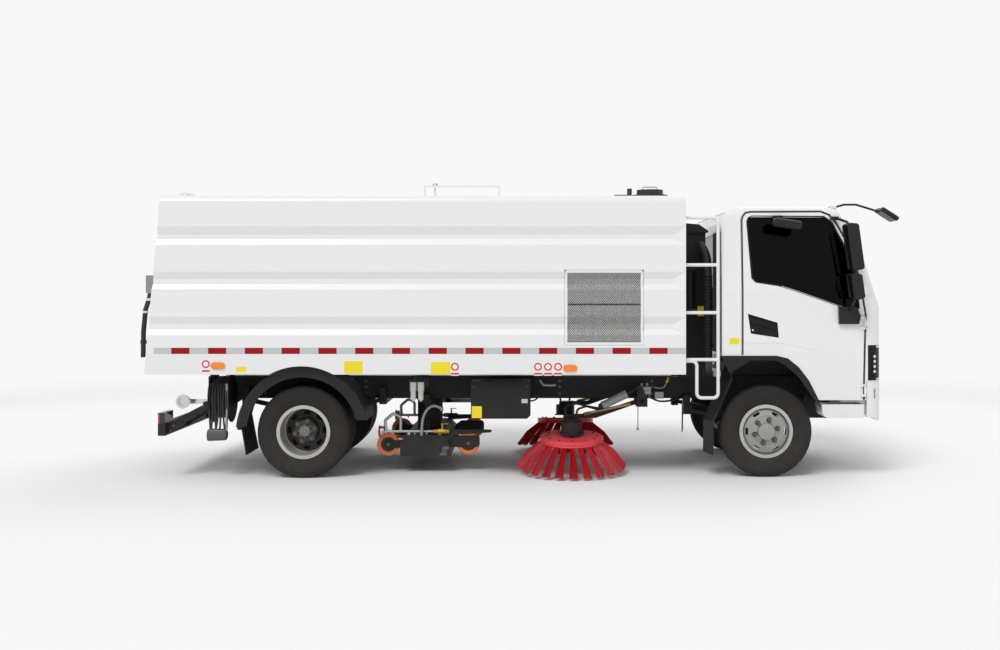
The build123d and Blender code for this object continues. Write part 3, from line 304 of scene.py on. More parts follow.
def makeRingZone():
    # 1 between two radii about a line across the truck
    group, given, end = newGroup(
        "ringZone", {"Coordinate": (0, 0, 0), "Along": 0.0, "Up": 0.0, "Inner": 0.0, "Outer": 1.0},
        {"Mask": "Float"},
    )
    x, _, z = folded(group, given["Coordinate"])
    along = calc(group, "SUBTRACT", x, given["Along"])
    up = calc(group, "SUBTRACT", z, given["Up"])
    squares = calc(group, "ADD", calc(group, "MULTIPLY", along, along), calc(group, "MULTIPLY", up, up))
    radius = calc(group, "SQRT", squares)
    inside = calc(group, "LESS_THAN", radius, given["Outer"])
    outside = calc(group, "GREATER_THAN", radius, given["Inner"])
    group.links.new(calc(group, "MULTIPLY", inside, outside), end["Mask"])
    return group


def makeSurfaceGrain():
    # height for moulded plastic, cast iron and rubber
    group, given, end = newGroup(
        "surfaceGrain", {"Coordinate": (0, 0, 0), "Scale": 300.0, "Depth": 0.5}, {"Height": "Float"},
    )
    noise = addNode(group, "ShaderNodeTexNoise", {
        "Vector": given["Coordinate"], "Scale": given["Scale"], "Detail": 2,
    })
    group.links.new(calc(group, "MULTIPLY", noise.outputs["Fac"], given["Depth"]), end["Height"])
    return group


roadDust = makeRoadDust()
surfaceGrain = makeSurfaceGrain()
boxZone = makeBoxZone()
ringZone = makeRingZone()


# Finishes
def srgb(*rgb):
    shares = [value / 255 for value in rgb]
    return (*(s / 12.92 if s <= 0.04045 else ((s + 0.055) / 1.055) ** 2.4 for s in shares), 1)


dustColour = srgb(118, 110, 100)
relief = {"Strength": 0.35, "Distance": 0.002}


def zoneMask(tree, coordinate, where):
    # where: ends along, across and up of a box, or axle along, up and two radii of a ring
    inputs = {"Coordinate": coordinate}
    if len(where) == 6:
        inputs.update({"Low": where[::2], "High": where[1::2]})
    else:
        inputs.update(zip(("Along", "Up", "Inner", "Outer"), where))
    group = boxZone if len(where) == 6 else ringZone
    return addNode(tree, "ShaderNodeGroup", inputs, node_tree=group).outputs["Mask"]


def finish(
    name, rgb, roughness, metallic=0.0, coat=0.0, dust=None, grain=None, zones=(), nodes="", **sockets,
):
    # dust: amount, lowest and highest height, grain; grain: scale and depth of the bump
    # zones: where, colour, roughness, metallic; nodes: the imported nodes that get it
    material = bpy.data.materials.new(name)
    material.use_nodes = True
    tree = material.node_tree
    shader = tree.nodes["Principled BSDF"]
    for label, value in {**sockets, "Coat_Weight": coat}.items():
        shader.inputs[label.replace("_", " ")].default_value = value
    if dust or grain or zones:
        coordinate = addNode(tree, "ShaderNodeTexCoord").outputs["Object"]
    shades = {"Base Color": srgb(*rgb), "Roughness": roughness, "Metallic": metallic}
    for where, zoneRgb, *values in zones:
        mask = zoneMask(tree, coordinate, where)
        for label, value in zip(list(shades), (srgb(*zoneRgb), *values)):
            if shades[label] != value:
                shades[label] = mixed(tree, mask, shades[label], value, label == "Base Color")
    if dust:
        inputs = {"Coordinate": coordinate, "Base": shades["Base Color"], "Dust": dustColour}
        inputs.update(zip(("Amount", "Low", "High", "Grain"), dust))
        film = addNode(tree, "ShaderNodeGroup", inputs, node_tree=roadDust)
        duller = calc(tree, "MULTIPLY", film.outputs["Mask"], 0.5)
        shades["Base Color"] = film.outputs["Color"]
        shades["Roughness"] = calc(tree, "ADD", duller, shades["Roughness"], use_clamp=True)
    for label, value in shades.items():
        if isinstance(value, bpy.types.NodeSocket):
            tree.links.new(value, shader.inputs[label])
        else:
            shader.inputs[label].default_value = value
    if grain:
        inputs = {"Coordinate": coordinate, "Scale": grain[0], "Depth": grain[1]}
        height = addNode(tree, "ShaderNodeGroup", inputs, node_tree=surfaceGrain).outputs["Height"]
        bump = addNode(tree, "ShaderNodeBump", {**relief, "Height": height})
        tree.links.new(bump.outputs["Normal"], shader.inputs["Normal"])
    for node in nodes.split():
        for _, side in hands:
            paint(cadNodes[node.replace("*", side)].data, name)


white = (233, 234, 233)
black = (20, 20, 21)
trimGrey = (52, 53, 55)
rimSilver = (190, 189, 187)
casterGrey = (44, 45, 47)
tapeWhite = (216, 217, 218)
paintwork = {"coat": 0.35, "dust": (0.2, 0.35, 1.2, 3.0)}
matt = {"Specular_IOR_Level": 0.22}


def inside(rear, steps):
    # the inner side of a leaning wall: front end, half width, lowest and highest height of each step
    return [((rear, front, -1, half, low, high), trimGrey, 0.7) for front, half, low, high in steps]


finish("bodyPaint", white, 0.28, **paintwork, nodes="front_bumper step_sills ladder rear_door")
# the pocket behind each side grille is painted near-black: painted shade inside the recess
finish("hopperPaint", white, 0.28, **paintwork, nodes="hopper_shell",
       zones=[((0.3185, 0.9605, 1.0, 1.0995, 1.0925, 1.7025), (12, 12, 12), 0.8)])
finish("cabPaint", white, 0.28, **paintwork, nodes="cab_shell", zones=inside(1.655, (
    (2.55, 0.966, 1.0, 1.6), (2.5, 0.925, 1.6, 2.0), (2.4, 0.9, 2.0, 2.12), (2.4, 0.8, 2.12, 2.19),
)))
finish("doorPaint", white, 0.28, **paintwork, nodes="door_*", zones=inside(1.6, (
    (3.0, 0.9665, 0.5, 1.6), (3.0, 0.943, 1.6, 1.8), (3.0, 0.925, 1.8, 2.0), (3.0, 0.908, 2.0, 2.135),
)) + [((1.812, 2.08, 0.96, 1.0086, 1.144, 1.352), (10, 10, 11), 0.6)])
# the grille sheet's middle behind the diamond mesh is painted near-black: painted shade seen through the
# holes
finish("grillePaint", white, 0.3, coat=0.3, nodes="side_grilles",
       zones=[((0.3425, 0.9365, 0, 1.2, 1.1165, 1.6785), (16, 16, 16), 0.8)])
finish("chassisPaint", (26, 26, 27), 0.5, dust=(0.22, 0.2, 1.1, 5.0), grain=(260, 0.4), **matt,
       nodes="chassis_frame axles leaf_springs underrun_guard knuckle_* brush_arm_* suction_nozzle")
finish("engineIron", (58, 57, 56), 0.6, metallic=0.4, grain=(140, 0.8), nodes="engine_block")
# the glass tint is near-black: painted shade of the unlit cab behind it
finish("windowGlass", (12, 13, 14), 0.02, Transmission_Weight=1.0, IOR=1.2, Specular_IOR_Level=0.3,
       nodes="cab_glass door_glass_*")
finish("seatFabric", (60, 61, 66), 0.85, grain=(600, 0.6), Sheen_Weight=0.3, **matt, nodes="seats")
finish("dashPlastic", (62, 62, 64), 0.6, grain=(420, 0.5), nodes="dashboard")
finish("lampHousing", (16, 17, 18), 0.15, **matt, nodes="headlamps")
finish("mouldedPlastic", (27, 27, 28), 0.5, dust=(0.16, 0.2, 1.3, 5.0), grain=(420, 0.35), **matt,
       nodes="front_grille wheel_arch_trims rear_mudguards intake_stack")
finish("mirrorPlastic", (34, 35, 37), 0.35, **matt, nodes="lookdown_mirror mirrors_*")
finish("tailLens", (168, 16, 20), 0.15, coat=0.5, nodes="tail_lamps", zones=[
    ((-3.1, -2.9, 0.7, 0.8845, 0.4, 0.6), (216, 218, 220), 0.12),
    ((-3.1, -2.9, 0.8855, 0.9645, 0.4, 0.6), (232, 122, 18), 0.15),
    ((-2.975, -2.9, 0.7, 1.1, 0.4, 0.6), black, 0.5),
])
finish("amberLens", (240, 132, 20), 0.18, coat=0.5, nodes="marker_lamps")
finish("brightChrome", (208, 209, 211), 0.16, metallic=1.0, nodes="water_inlet")
finish("sprayMetal", (176, 178, 180), 0.3, metallic=0.85, dust=(0.2, 0.1, 0.9, 20.0), nodes="spray_bars",
       zones=[((-0.775, -0.636, 0.6, 0.75, 0.3, 0.4), (176, 140, 66), 0.35, 0.9)])
finish("cabinetPaint", (24, 25, 26), 0.4, dust=(0.12, 0.3, 1.0, 5.0), **matt, nodes="electric_cabinet",
       zones=[((-0.031, 0.021, 0.9904, 1.0, 0.613, 0.649), (196, 198, 200), 0.2, 1.0)])
finish("filterPlastic", (214, 213, 208), 0.3, dust=(0.25, 0.3, 1.0, 8.0), nodes="water_filters", zones=[
    ((-1.0, -0.8, 0.3, 0.95, 0.7795, 0.9), black, 0.5), ((-1.0, -0.8, 0.3, 0.42, 0.69, 0.8), black, 0.5),
])
finish(
    "tankAluminium", (186, 188, 190), 0.34, metallic=0.9, dust=(0.3, 0.3, 0.9, 5.0), nodes="fuel_tank",
    zones=[
        ((-0.751, -0.699, 0.5, 1.0, 0.4, 0.8), black, 0.6, 0.0),
        ((-0.251, -0.199, 0.5, 1.0, 0.4, 0.8), black, 0.6, 0.0),
        ((-0.89, -0.79, 0.8, 0.92, 0.791, 0.83), black, 0.5, 0.0),
        ((-0.71, -0.19, 0.3, 0.5999, 0.5, 0.71), black, 0.5, 0.0),
    ],
)
finish("hoseRubber", (38, 39, 42), 0.5, dust=(0.3, 0.2, 1.0, 14.0), **matt)
finish("reelPaint", (24, 24, 25), 0.45, dust=(0.2, 0.2, 1.0, 9.0), **matt, nodes="hose_reel",
       zones=[((-2.5915, -2.4485, 0.6, 1.0, 0.4, 0.9), (46, 50, 60), 0.5)])
finish("drainRubber", (20, 28, 66), 0.45, nodes="drain_hose", zones=[
    ((-3.15, -3.05, 0.9, 1.03, 1.4525, 1.4735), tapeWhite, 0.4),
    ((-3.15, -3.05, 0.9, 1.03, 1.3525, 1.3695), tapeWhite, 0.4),
    ((-3.15, -2.9, 0.9, 1.03, 1.513, 1.662), (140, 143, 146), 0.45, 0.3),
    ((-3.15, -2.9, 0.9, 1.03, 0.8, 1.352), (20, 21, 26), 0.5, 0.0),
])
finish("roofPaint", white, 0.35, coat=0.2, nodes="roof_fittings", zones=[
    ((0.88, 1.2, 0.6, 0.97, 2.3085, 2.3745), (22, 22, 23), 0.45),
    ((0.7, 0.889, 0.6, 0.97, 2.3085, 2.42), (40, 40, 42), 0.5),
    ((-0.76, -0.718, 0.94, 0.985, 2.3845, 2.42), (186, 14, 18), 0.2),
])
finish("tyreRubber", (33, 32, 32), 0.75, dust=(0.28, -0.1, 1.0, 9.0), grain=(220, 0.4), **matt,
       nodes="tyre_front_* tyres_rear_*")
# the disc inside each rim is painted darker, a little on the front wheels and near-black in the deep rear
# dish: painted shade
finish("frontRimPaint", rimSilver, 0.38, metallic=0.3, dust=(0.45, 0.1, 0.9, 12.0), nodes="rim_front_*",
       zones=[((1.984, 0.376, 0.0, 0.1935), (158, 158, 157), 0.42)])
finish("rearRimPaint", rimSilver, 0.38, metallic=0.3, dust=(0.35, 0.1, 0.9, 12.0), nodes="rim_rear_*",
       zones=[((-1.816, 0.376, 0.0, 0.179), (50, 49, 48), 0.6, 0.1)])
finish("discPlastic", (226, 62, 72), 0.42, coat=0.1, dust=(0.12, 0.2, 0.5, 20.0),
       nodes="brush_disc_* brush_bristles_*")
finish(
    "casterTread", (240, 128, 64), 0.5, dust=(0.2, 0.1, 0.4, 20.0), nodes="caster_front_* caster_rear_*",
    zones=[
        ((-0.481, 0.240, 0.0, 0.0625), casterGrey, 0.45, 0.4),
        ((-1.160, 0.230, 0.0, 0.0625), casterGrey, 0.45, 0.4),
    ],
)

finish("tapeRed", (150, 6, 20), 0.45, **matt)
finish("tapeSilver", (190, 195, 197), 0.35, metallic=0.15, coat=0.2)
finish("nutSteel", (92, 90, 88), 0.42, metallic=0.8, dust=(0.6, 0.0, 1.0, 20.0))
finish("hubSteel", (120, 118, 115), 0.45, metallic=0.6, dust=(0.6, 0.0, 1.0, 20.0))
# black for the slots in the nozzle side plates: painted shade seen through the openings
finish("gapBlack", (12, 12, 12), 0.8)
finish("bristleRed", (196, 16, 38), 0.42, dust=(0.35, -0.05, 0.25, 30.0))
finish("meshSteel", (206, 207, 205), 0.4, metallic=0.2)
finish("plateYellow", (238, 216, 28), 0.4)
finish("signWhite", (236, 234, 232), 0.4)
finish("signRed", (200, 22, 34), 0.4)
# black rubber, also used for the strip of painted shade along the door gap
finish("sealRubber", black, 0.55, **matt)
finish("trimSteel", (206, 208, 210), 0.25, metallic=0.8)
finish("mirrorGlass", (200, 204, 208), 0.03, metallic=1.0)
finish("clearLens", (222, 224, 226), 0.12, coat=0.6)
finish("reflectorChrome", (216, 218, 220), 0.08, metallic=1.0)
finish("wheelRed", (196, 22, 34), 0.4)
finish("brass", (184, 148, 72), 0.3, metallic=0.9)
finish("plateSteel", (104, 104, 103), 0.45, metallic=0.5, dust=(0.3, 0.0, 0.5, 30.0))
finish("cylinderGrey", (150, 152, 154), 0.35, metallic=0.6)
finish("strutGold", (176, 140, 92), 0.35, metallic=0.8)
finish("padCloth", (66, 68, 74), 0.9, grain=(700, 0.7), Sheen_Weight=0.3)
print("finishes made")


# Reflective tape along both sides of the hopper: red lengths with silver between them
tape = {
    "low": 1.022, "high": 1.072, "near": -1.1008, "far": -1.0995, "red": 0.1475, "pitch": 0.2978,
    "firstRed": -2.866, "rear": -3.009, "front": 1.300, "shortest": 0.002,
}


def layTape():
    runs = {"Red": [], "Silver": []}
    spot = tape["firstRed"] - tape["pitch"]
    while spot < tape["front"]:
        split = spot + tape["red"]
        for colour, low, high in (("Red", spot, split), ("Silver", split, spot + tape["pitch"])):
            low, high = max(low, tape["rear"]), min(high, tape["front"])
            if high - low > tape["shortest"]:
                corner = (low, tape["near"], tape["low"])
                runs[colour].append(block(corner, (high, tape["far"], tape["high"])))
        spot += tape["pitch"]
    for colour, strips in runs.items():
        place(f"tape_{colour.lower()}_*", strips, "hopper", f"tape{colour}")


layTape()
print("tape laid")


# Geometry Nodes: a tree is built here, run once and turned into a plain mesh
def endTree(tree, end, geometry, material):
    real = addNode(tree, "GeometryNodeRealizeInstances", {"Geometry": geometry})
    painted = addNode(tree, "GeometryNodeSetMaterial", {
        "Geometry": real.outputs[0], "Material": bpy.data.materials[material],
    })
    tree.links.new(painted.outputs[0], end[0])


def grow(tree, values):
    holder = newObject("grown", bpy.data.meshes.new("grown"))
    modifier = holder.modifiers.new("grown", "NODES")
    modifier.node_group = tree
    for item in tree.interface.items_tree:
        if item.in_out == "INPUT" and item.name in values:
            modifier[item.identifier] = values[item.name]
    return evaluated(holder)


def ringTree(name, material):
    # copies of a model set round an axis: the circle lies in XY and is turned afterwards
    tree, given, end = newGroup(name, {
        "Model": None, "Count": 8, "Radius": 0.1, "Start": 0.0, "Tilt": (0, 0, 0), "Place": (0, 0, 0),
    }, {"Geometry": "Geometry"}, "GeometryNodeTree")
    circle = addNode(tree, "GeometryNodeMeshCircle", {"Vertices": given["Count"], "Radius": given["Radius"]})
    index = addNode(tree, "GeometryNodeInputIndex")
    turn = calc(tree, "MULTIPLY", index.outputs[0], calc(tree, "DIVIDE", tau, given["Count"]))
    copies = addNode(tree, "GeometryNodeInstanceOnPoints", {
        "Points": circle.outputs["Mesh"],
        "Rotation": addNode(tree, "ShaderNodeCombineXYZ", {"Z": turn}).outputs[0],
        "Instance": addNode(tree, "GeometryNodeObjectInfo", {"Object": given["Model"]}).outputs["Geometry"],
    })
    started = addNode(tree, "ShaderNodeCombineXYZ", {"Z": given["Start"]}).outputs[0]
    spun = addNode(tree, "GeometryNodeTransform", {"Geometry": copies.outputs[0], "Rotation": started})
    stood = addNode(tree, "GeometryNodeTransform", {
        "Geometry": spun.outputs[0], "Rotation": given["Tilt"], "Translation": given["Place"],
    })
    endTree(tree, end, stood.outputs[0], material)
    return tree


ringTrees = {}


def ringOf(model, count, radius, spot, tilt, material, start=0.0):
    holder = newObject("model", model)
    if material not in ringTrees:
        ringTrees[material] = ringTree(f"ring_{material}", material)
    mesh = grow(ringTrees[material], {
        "Model": holder, "Count": count, "Radius": radius, "Place": spot, "Tilt": tilt, "Start": start,
    })
    bpy.data.objects.remove(holder)
    return mesh


# Wheels: tyre and tread blocks, nuts, hub cap with its bolts, brake drum
wheel = {
    "height": 0.376, "halfWidth": 0.107, "radius": 0.3755, "treadDepth": 0.009, "steps": 96, "blocks": 66,
    "gap": 0.0035,
    "ribs": ((-0.066, 0.030), (-0.033, 0.026), (0.0, 0.026), (0.033, 0.026), (0.066, 0.030)), "slant": 0.28,
    "nuts": 6, "flats": 0.0165, "tall": 0.020, "studRadius": 0.010, "studTall": 0.034, "nutTurn": 0.26,
    "capAt": 0.921, "capRadius": 0.046, "capTall": 0.022, "bolts": 8, "boltCircle": 0.056, "boltsAt": 0.912,
}
axles = {
    "front": {
        "node": "tyre_front_", "x": 1.984, "mids": (0.845,), "nutCircle": 0.096, "nutFace": 0.930,
        "drum": [(0.0, 0.05), (0.0, 0.150), (0.006, 0.156), (0.07, 0.156), (0.07, 0.05)],
        "drumAt": {"right": -0.892, "left": 0.822},
    },
    "rear": {
        "node": "tyres_rear_", "x": -1.816, "mids": (0.905, 0.665), "nutCircle": 0.082, "nutFace": 0.904,
        "drum": [(0.0, 0.106), (0.0, 0.165), (0.006, 0.171), (0.135, 0.171), (0.14, 0.106)],
        "drumAt": {"right": -0.735, "left": 0.595},
    },
}


def tyreCase(x, y):
    a = wheel["halfWidth"]
    base = wheel["radius"] - wheel["treadDepth"]
    half = [
        (0.078, 0.2066), (0.0795, 0.2215), (0.087, 0.2235), (0.0915, 0.231), (0.0945, 0.243), (0.0955, 0.245),
        (0.1000, 0.258), (0.1040, 0.276), (a, 0.296), (a - 0.001, 0.318), (0.1035, 0.334), (0.1020, 0.3345),
        (0.1015, 0.3385), (0.1000, 0.3390), (0.0960, 0.352), (0.0900, base - 0.003), (0.0840, base),
    ]
    profile = [(-along, radius) for along, radius in half] + half[::-1]
    return lathe(profile, (x, y, wheel["height"]), "Y", wheel["steps"])


def treadBlock(width, slant):
    length = tau * wheel["radius"] / wheel["blocks"] - wheel["gap"]
    points = []
    for up, shrink in ((-wheel["treadDepth"] - 0.002, 0.0), (-0.001, 0.0), (0.0, 0.0012)):
        for along, across in ((-1, -1), (1, -1), (1, 1), (-1, 1)):
            shift = slant * across * width / 2
            points.append((up, along * (length / 2 - shrink) + shift, across * (width / 2 - shrink)))
    return solid(points, [(8, 9, 10, 11)] + rungs(4, 3))


def wheelNut():
    return joined([
        drum((0, 0, 0.003), alongZ, wheel["flats"] * 1.35, 0.006, 16),
        drum((0, 0, wheel["tall"] / 2 + 0.004), alongZ, wheel["flats"], wheel["tall"], 6, 0.0015),
        drum((0, 0, wheel["studTall"] / 2), alongZ, wheel["studRadius"], wheel["studTall"], 12, 0.001),
    ])


def makeTyre(node, body, x, mids):
    meshes = []
    for y in mids:
        meshes.append(tyreCase(x, y))
        for number, (offset, width) in enumerate(wheel["ribs"]):
            slant = wheel["slant"] if number % 2 else -wheel["slant"]
            meshes.append(ringOf(
                treadBlock(width, slant), wheel["blocks"], wheel["radius"], (x, y + offset, wheel["height"]),
                (radians(90), 0, 0), "tyreRubber", 0.02 * number,
            ))
    tread, = place(f"{node}_tread", meshes, body, "tyreRubber", True)
    tread.data.set_sharp_from_angle(angle=radians(32))
    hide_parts(node)


def dressWheels():
    height = wheel["height"]
    for end, axle in axles.items():
        for hand, side in hands:
            node = axle["node"] + side
            body = f"wheel_{end}_{side}"
            x = axle["x"]
            makeTyre(node, body, x, [hand * mid for mid in axle["mids"]])
            tilt = (radians(-90 * hand), 0, 0)
            face = (x, hand * axle["nutFace"], height)
            nuts = ringOf(
                wheelNut(), wheel["nuts"], axle["nutCircle"], face, tilt, "nutSteel", wheel["nutTurn"],
            )
            place(f"{node}_nuts", [nuts], body, "nutSteel")
            if end == "rear":
                spot = (x, hand * wheel["capAt"], height)
                cap = drum(spot, (0, -hand, 0), wheel["capRadius"], wheel["capTall"], 32, 0.004)
                bolt = drum((0, 0, 0.004), alongZ, 0.0065, 0.009, 6, 0.001)
                spot = (x, hand * wheel["boltsAt"], height)
                bolts = ringOf(bolt, wheel["bolts"], wheel["boltCircle"], spot, tilt, "hubSteel")
                place(f"{node}_hub_cap", [cap, bolts], body, "hubSteel")
            brake = lathe(axle["drum"], (x, axle["drumAt"][side], height), "Y", 48)
            place(f"{node}_brake_drum", [brake], body, "engineIron")


dressWheels()
print("wheels dressed")


# Brushes: flat tufts of strands fanning out below each disc, clamp ring and bolts
brush = {
    "at": Vector((0.389, -0.740, 0.300)), "tilt": radians(6), "bolts": 12, "boltCircle": 0.215,
    "boltRise": 0.017,
}
bristles = {
    "tufts": 24, "strands": 120, "rootRadius": 0.232, "rootDrop": -0.014, "out": 0.222, "drop": 0.224,
    "rootHalf": 0.017,
    "tipHalf": 0.034, "thick": 0.008, "tipThick": 0.012, "strandRadius": 0.0013, "wander": 0.0025, "seed": 7,
}
clamp = {
    "section": [(0.0, 0.205), (0.0, 0.262), (-0.008, 0.266), (-0.020, 0.256), (-0.020, 0.205)],
    "drop": -0.0165,
}


def onBrush(up):
    return tuple(brush["at"] + Matrix.Rotation(brush["tilt"], 3, "X") @ Vector((0, 0, up)))


def tuftOfStrands():
    chance = random.Random(bristles["seed"])
    points = []
    faces = []
    for _ in range(bristles["strands"]):
        across = chance.uniform(-1, 1)
        through = chance.uniform(-1, 1)
        length = chance.uniform(0.95, 1.0)
        droop = chance.uniform(0.0, 0.014)
        first = len(points)
        for share, sag in ((0.0, 0.0), (0.55, 1.0), (1.0, 0.0)):
            wide = bristles["rootHalf"] + share * (bristles["tipHalf"] - bristles["rootHalf"])
            deep = bristles["thick"] + share * (bristles["tipThick"] - bristles["thick"])
            wander = bristles["wander"] * share
            lift = through * deep * 0.7 + sag * droop
            ring = Vector((
                share * length * bristles["out"] + lift, across * wide + chance.uniform(-wander, wander),
                -share * length * bristles["drop"] + lift + chance.uniform(-wander, wander),
            ))
            for corner in range(3):
                angle = tau * corner / 3
                slope = cos(angle) * 0.7
                points.append(ring + bristles["strandRadius"] * Vector((slope, sin(angle), slope)))
        faces += rungs(3, 3, first) + [(first + 6, first + 7, first + 8)]
    return solid(points, faces, None)


def dressBrushes():
    tilt = (brush["tilt"], 0, 0)
    tufts = ringOf(
        tuftOfStrands(), bristles["tufts"], bristles["rootRadius"], onBrush(bristles["rootDrop"]), tilt,
        "bristleRed",
    )
    pieces = place("bristle_tufts_*", [tufts], "brush_*", "bristleRed")
    for piece, (_, side) in zip(pieces, hands):
        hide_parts(f"brush_bristles_{side}")
    ring = lathe(clamp["section"], (0, 0, 0), "Z", 72)
    turn = Matrix.Rotation(brush["tilt"], 4, "X") @ Matrix.Translation((0, 0, clamp["drop"]))
    ring.transform(Matrix.Translation(brush["at"]) @ turn)
    place("brush_*_clamp_ring", [ring], "brush_*", "discPlastic")
    head = drum((0, 0, 0.004), alongZ, 0.009, 0.009, 6, 0.001)
    bolts = ringOf(head, brush["bolts"], brush["boltCircle"], onBrush(brush["boltRise"]), tilt, "nutSteel")
    place("disc_bolts_*", [bolts], "brush_*", "nutSteel")


dressBrushes()
print("brushes dressed")


# Side grilles: staggered diamond cells laid over the pressed sheet
lattice = {
    "left": 0.344, "right": 0.935, "low": 1.119, "high": 1.676, "across": 0.0179, "up": 0.0135, "open": 0.76,
    "thick": 0.0016, "side": 1.0945, "splitLow": 1.411, "splitHigh": 1.431, "grooveDepth": 0.028,
    "grooves": ((1.688, 1.630, 1.588, 1.544), (1.324, 1.264, 1.221, 1.175)),
}


def grooveAt(z):
    # how deep the body side lies behind its outer face at a height
    for high, midHigh, midLow, low in lattice["grooves"]:
        if low < z < high:
            return lattice["grooveDepth"] * min(1, (high - z) / (high - midHigh), (z - low) / (midLow - low))
    return 0.0


def latticeCell():
    # diamond ring without its outer walls, which the next cell shares
    points = []
    for depth in (0, lattice["thick"]):
        for share in (1, lattice["open"]):
            for along, up in ((-1, 0), (0, -1), (1, 0), (0, 1)):
                points.append((along * share * lattice["across"] / 2, depth, up * share * lattice["up"] / 2))
    faces = []
    for corner in range(4):
        after = (corner + 1) % 4
        faces.append((corner, after, 4 + after, 4 + corner))
        faces.append((8 + after, 8 + corner, 12 + corner, 12 + after))
        faces.append((4 + corner, 4 + after, 12 + after, 12 + corner))
    return solid(points, faces, None)


def latticeTree(material):
    tree, given, end = newGroup("lattice", {
        "Cell": None, "Columns": 10, "Rows": 10, "Across": 0.02, "Up": 0.02, "Place": (0, 0, 0),
    }, {"Geometry": "Geometry"}, "GeometryNodeTree")
    both = addNode(tree, "GeometryNodeJoinGeometry")
    for shift in (0.0, 0.5):
        spans = []
        for count, pitch in (("Columns", "Across"), ("Rows", "Up")):
            spans.append(calc(tree, "MULTIPLY", calc(tree, "SUBTRACT", given[count], 1.0), given[pitch]))
        grid = addNode(tree, "GeometryNodeMeshGrid", {
            "Size X": spans[0], "Size Y": spans[1], "Vertices X": given["Columns"],
            "Vertices Y": given["Rows"],
        })
        offset = addNode(tree, "ShaderNodeCombineXYZ", {"X": given["Across"], "Y": given["Up"]}).outputs[0]
        half = addNode(tree, "ShaderNodeVectorMath", {0: offset, "Scale": shift}, operation="SCALE")
        moved = addNode(tree, "GeometryNodeTransform", {
            "Geometry": grid.outputs["Mesh"], "Translation": half.outputs[0],
        })
        tree.links.new(moved.outputs[0], both.inputs[0])
    stood = addNode(tree, "GeometryNodeTransform", {
        "Geometry": both.outputs[0], "Rotation": (radians(90), 0, 0), "Translation": given["Place"],
    })
    model = addNode(tree, "GeometryNodeObjectInfo", {"Object": given["Cell"]})
    cells = addNode(tree, "GeometryNodeInstanceOnPoints", {
        "Points": stood.outputs[0], "Instance": model.outputs["Geometry"],
    })
    endTree(tree, end, cells.outputs[0], material)
    return tree


def makeGrilles():
    cell = newObject("cell", latticeCell())
    tree = latticeTree("meshSteel")
    across, up = lattice["across"], lattice["up"]
    middle = (lattice["left"] + lattice["right"] - across / 2) / 2
    fields = []
    for low, high in ((lattice["low"], lattice["splitLow"]), (lattice["splitHigh"], lattice["high"])):
        fields.append(grow(tree, {
            "Cell": cell, "Columns": int((lattice["right"] - lattice["left"]) / across) + 1, "Across": across,
            "Rows": int((high - low) / up) + 1, "Up": up, "Place": (middle, 0, (low + high) / 2),
        }))
    bpy.data.objects.remove(cell)
    form = bmesh.new()
    form.from_mesh(joined(fields))
    bmesh.ops.remove_doubles(form, verts=form.verts, dist=1e-5)
    for point in form.verts:
        point.co.y += grooveAt(point.co.z) - lattice["side"] - lattice["thick"]
    place("grille_mesh_*", [toMesh(form, None)], "hopper", "meshSteel")


makeGrilles()
print("grille mesh laid")


# Blank round signs, each a ring on a plain face with a bar below
signs = {
    "side": -1.1, "radius": 0.032, "inner": 0.021, "thin": 0.001, "bar": -0.056, "barHalf": 0.007,
    "barFace": 0.016,
    "places": ((-2.586, 0.940), (-0.569, 0.918), (0.104, 0.918), (0.185, 0.918), (0.266, 0.918)),
}


def makeSigns():
    faces = []
    rings = []
    side, outer, inner, thin = signs["side"], signs["radius"], signs["inner"], signs["thin"]
    section = [(0.0, inner), (-2 * thin, inner), (-2 * thin, outer), (0.0, outer)]
    for x, z in signs["places"]:
        bar = z + signs["bar"]
        faces.append(drum((x, side - thin * 0.4, z), alongY, inner + 0.001, thin, 40))
        faces.append(block(
            (x - outer, side - thin * 0.9, bar - signs["barFace"]),
            (x + outer, side + 0.0003, bar + signs["barFace"]),
        ))
        rings.append(lathe(section, (x, side + thin, z), "Y", 40))
        half = signs["barHalf"]
        rings.append(block((x - outer, side - thin, bar - half), (x + outer, side, bar + half)))
    place("sign_faces_*", faces, "hopper", "signWhite")
    place("sign_rings_*", rings, "hopper", "signRed")


makeSigns()
print("blank signs set")


# Rubber, trim and a black strip of painted shade along the door gap, all following the imported skins
skins = {}


def meet(node, spot, heading):
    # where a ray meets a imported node, and the normal there
    if node not in skins:
        form = bmesh.new()
        form.from_mesh(cadNodes[node].data)
        skins[node] = BVHTree.FromBMesh(form)
        form.free()
    return skins[node].ray_cast(Vector(spot), Vector(heading))[:2]


def dense(points, step, closed):
    # points no further apart than a step along a run of straight lines
    spots = []
    for (ax, az), (bx, bz) in zip(points, points[1:] + points[:1] if closed else points[1:]):
        count = max(1, ceil(hypot(bx - ax, bz - az) / step))
        spots += [(ax + (bx - ax) * i / count, az + (bz - az) * i / count) for i in range(count)]
    return spots if closed else spots + [points[-1]]


def inward(spots, closed):
    # unit directions across the run, towards its middle
    middle = Vector((sum(x for x, _ in spots) / len(spots), sum(z for _, z in spots) / len(spots)))
    last = len(spots) - 1
    ways = []
    for i, spot in enumerate(spots):
        before = spots[i - 1] if i or closed else spots[0]
        after = spots[(i + 1) % len(spots)] if i < last or closed else spots[last]
        along = (Vector(after) - Vector(before)).normalized()
        across = Vector((-along.y, along.x))
        ways.append(across if across.dot(middle - Vector(spot)) > 0 else -across)
    return ways


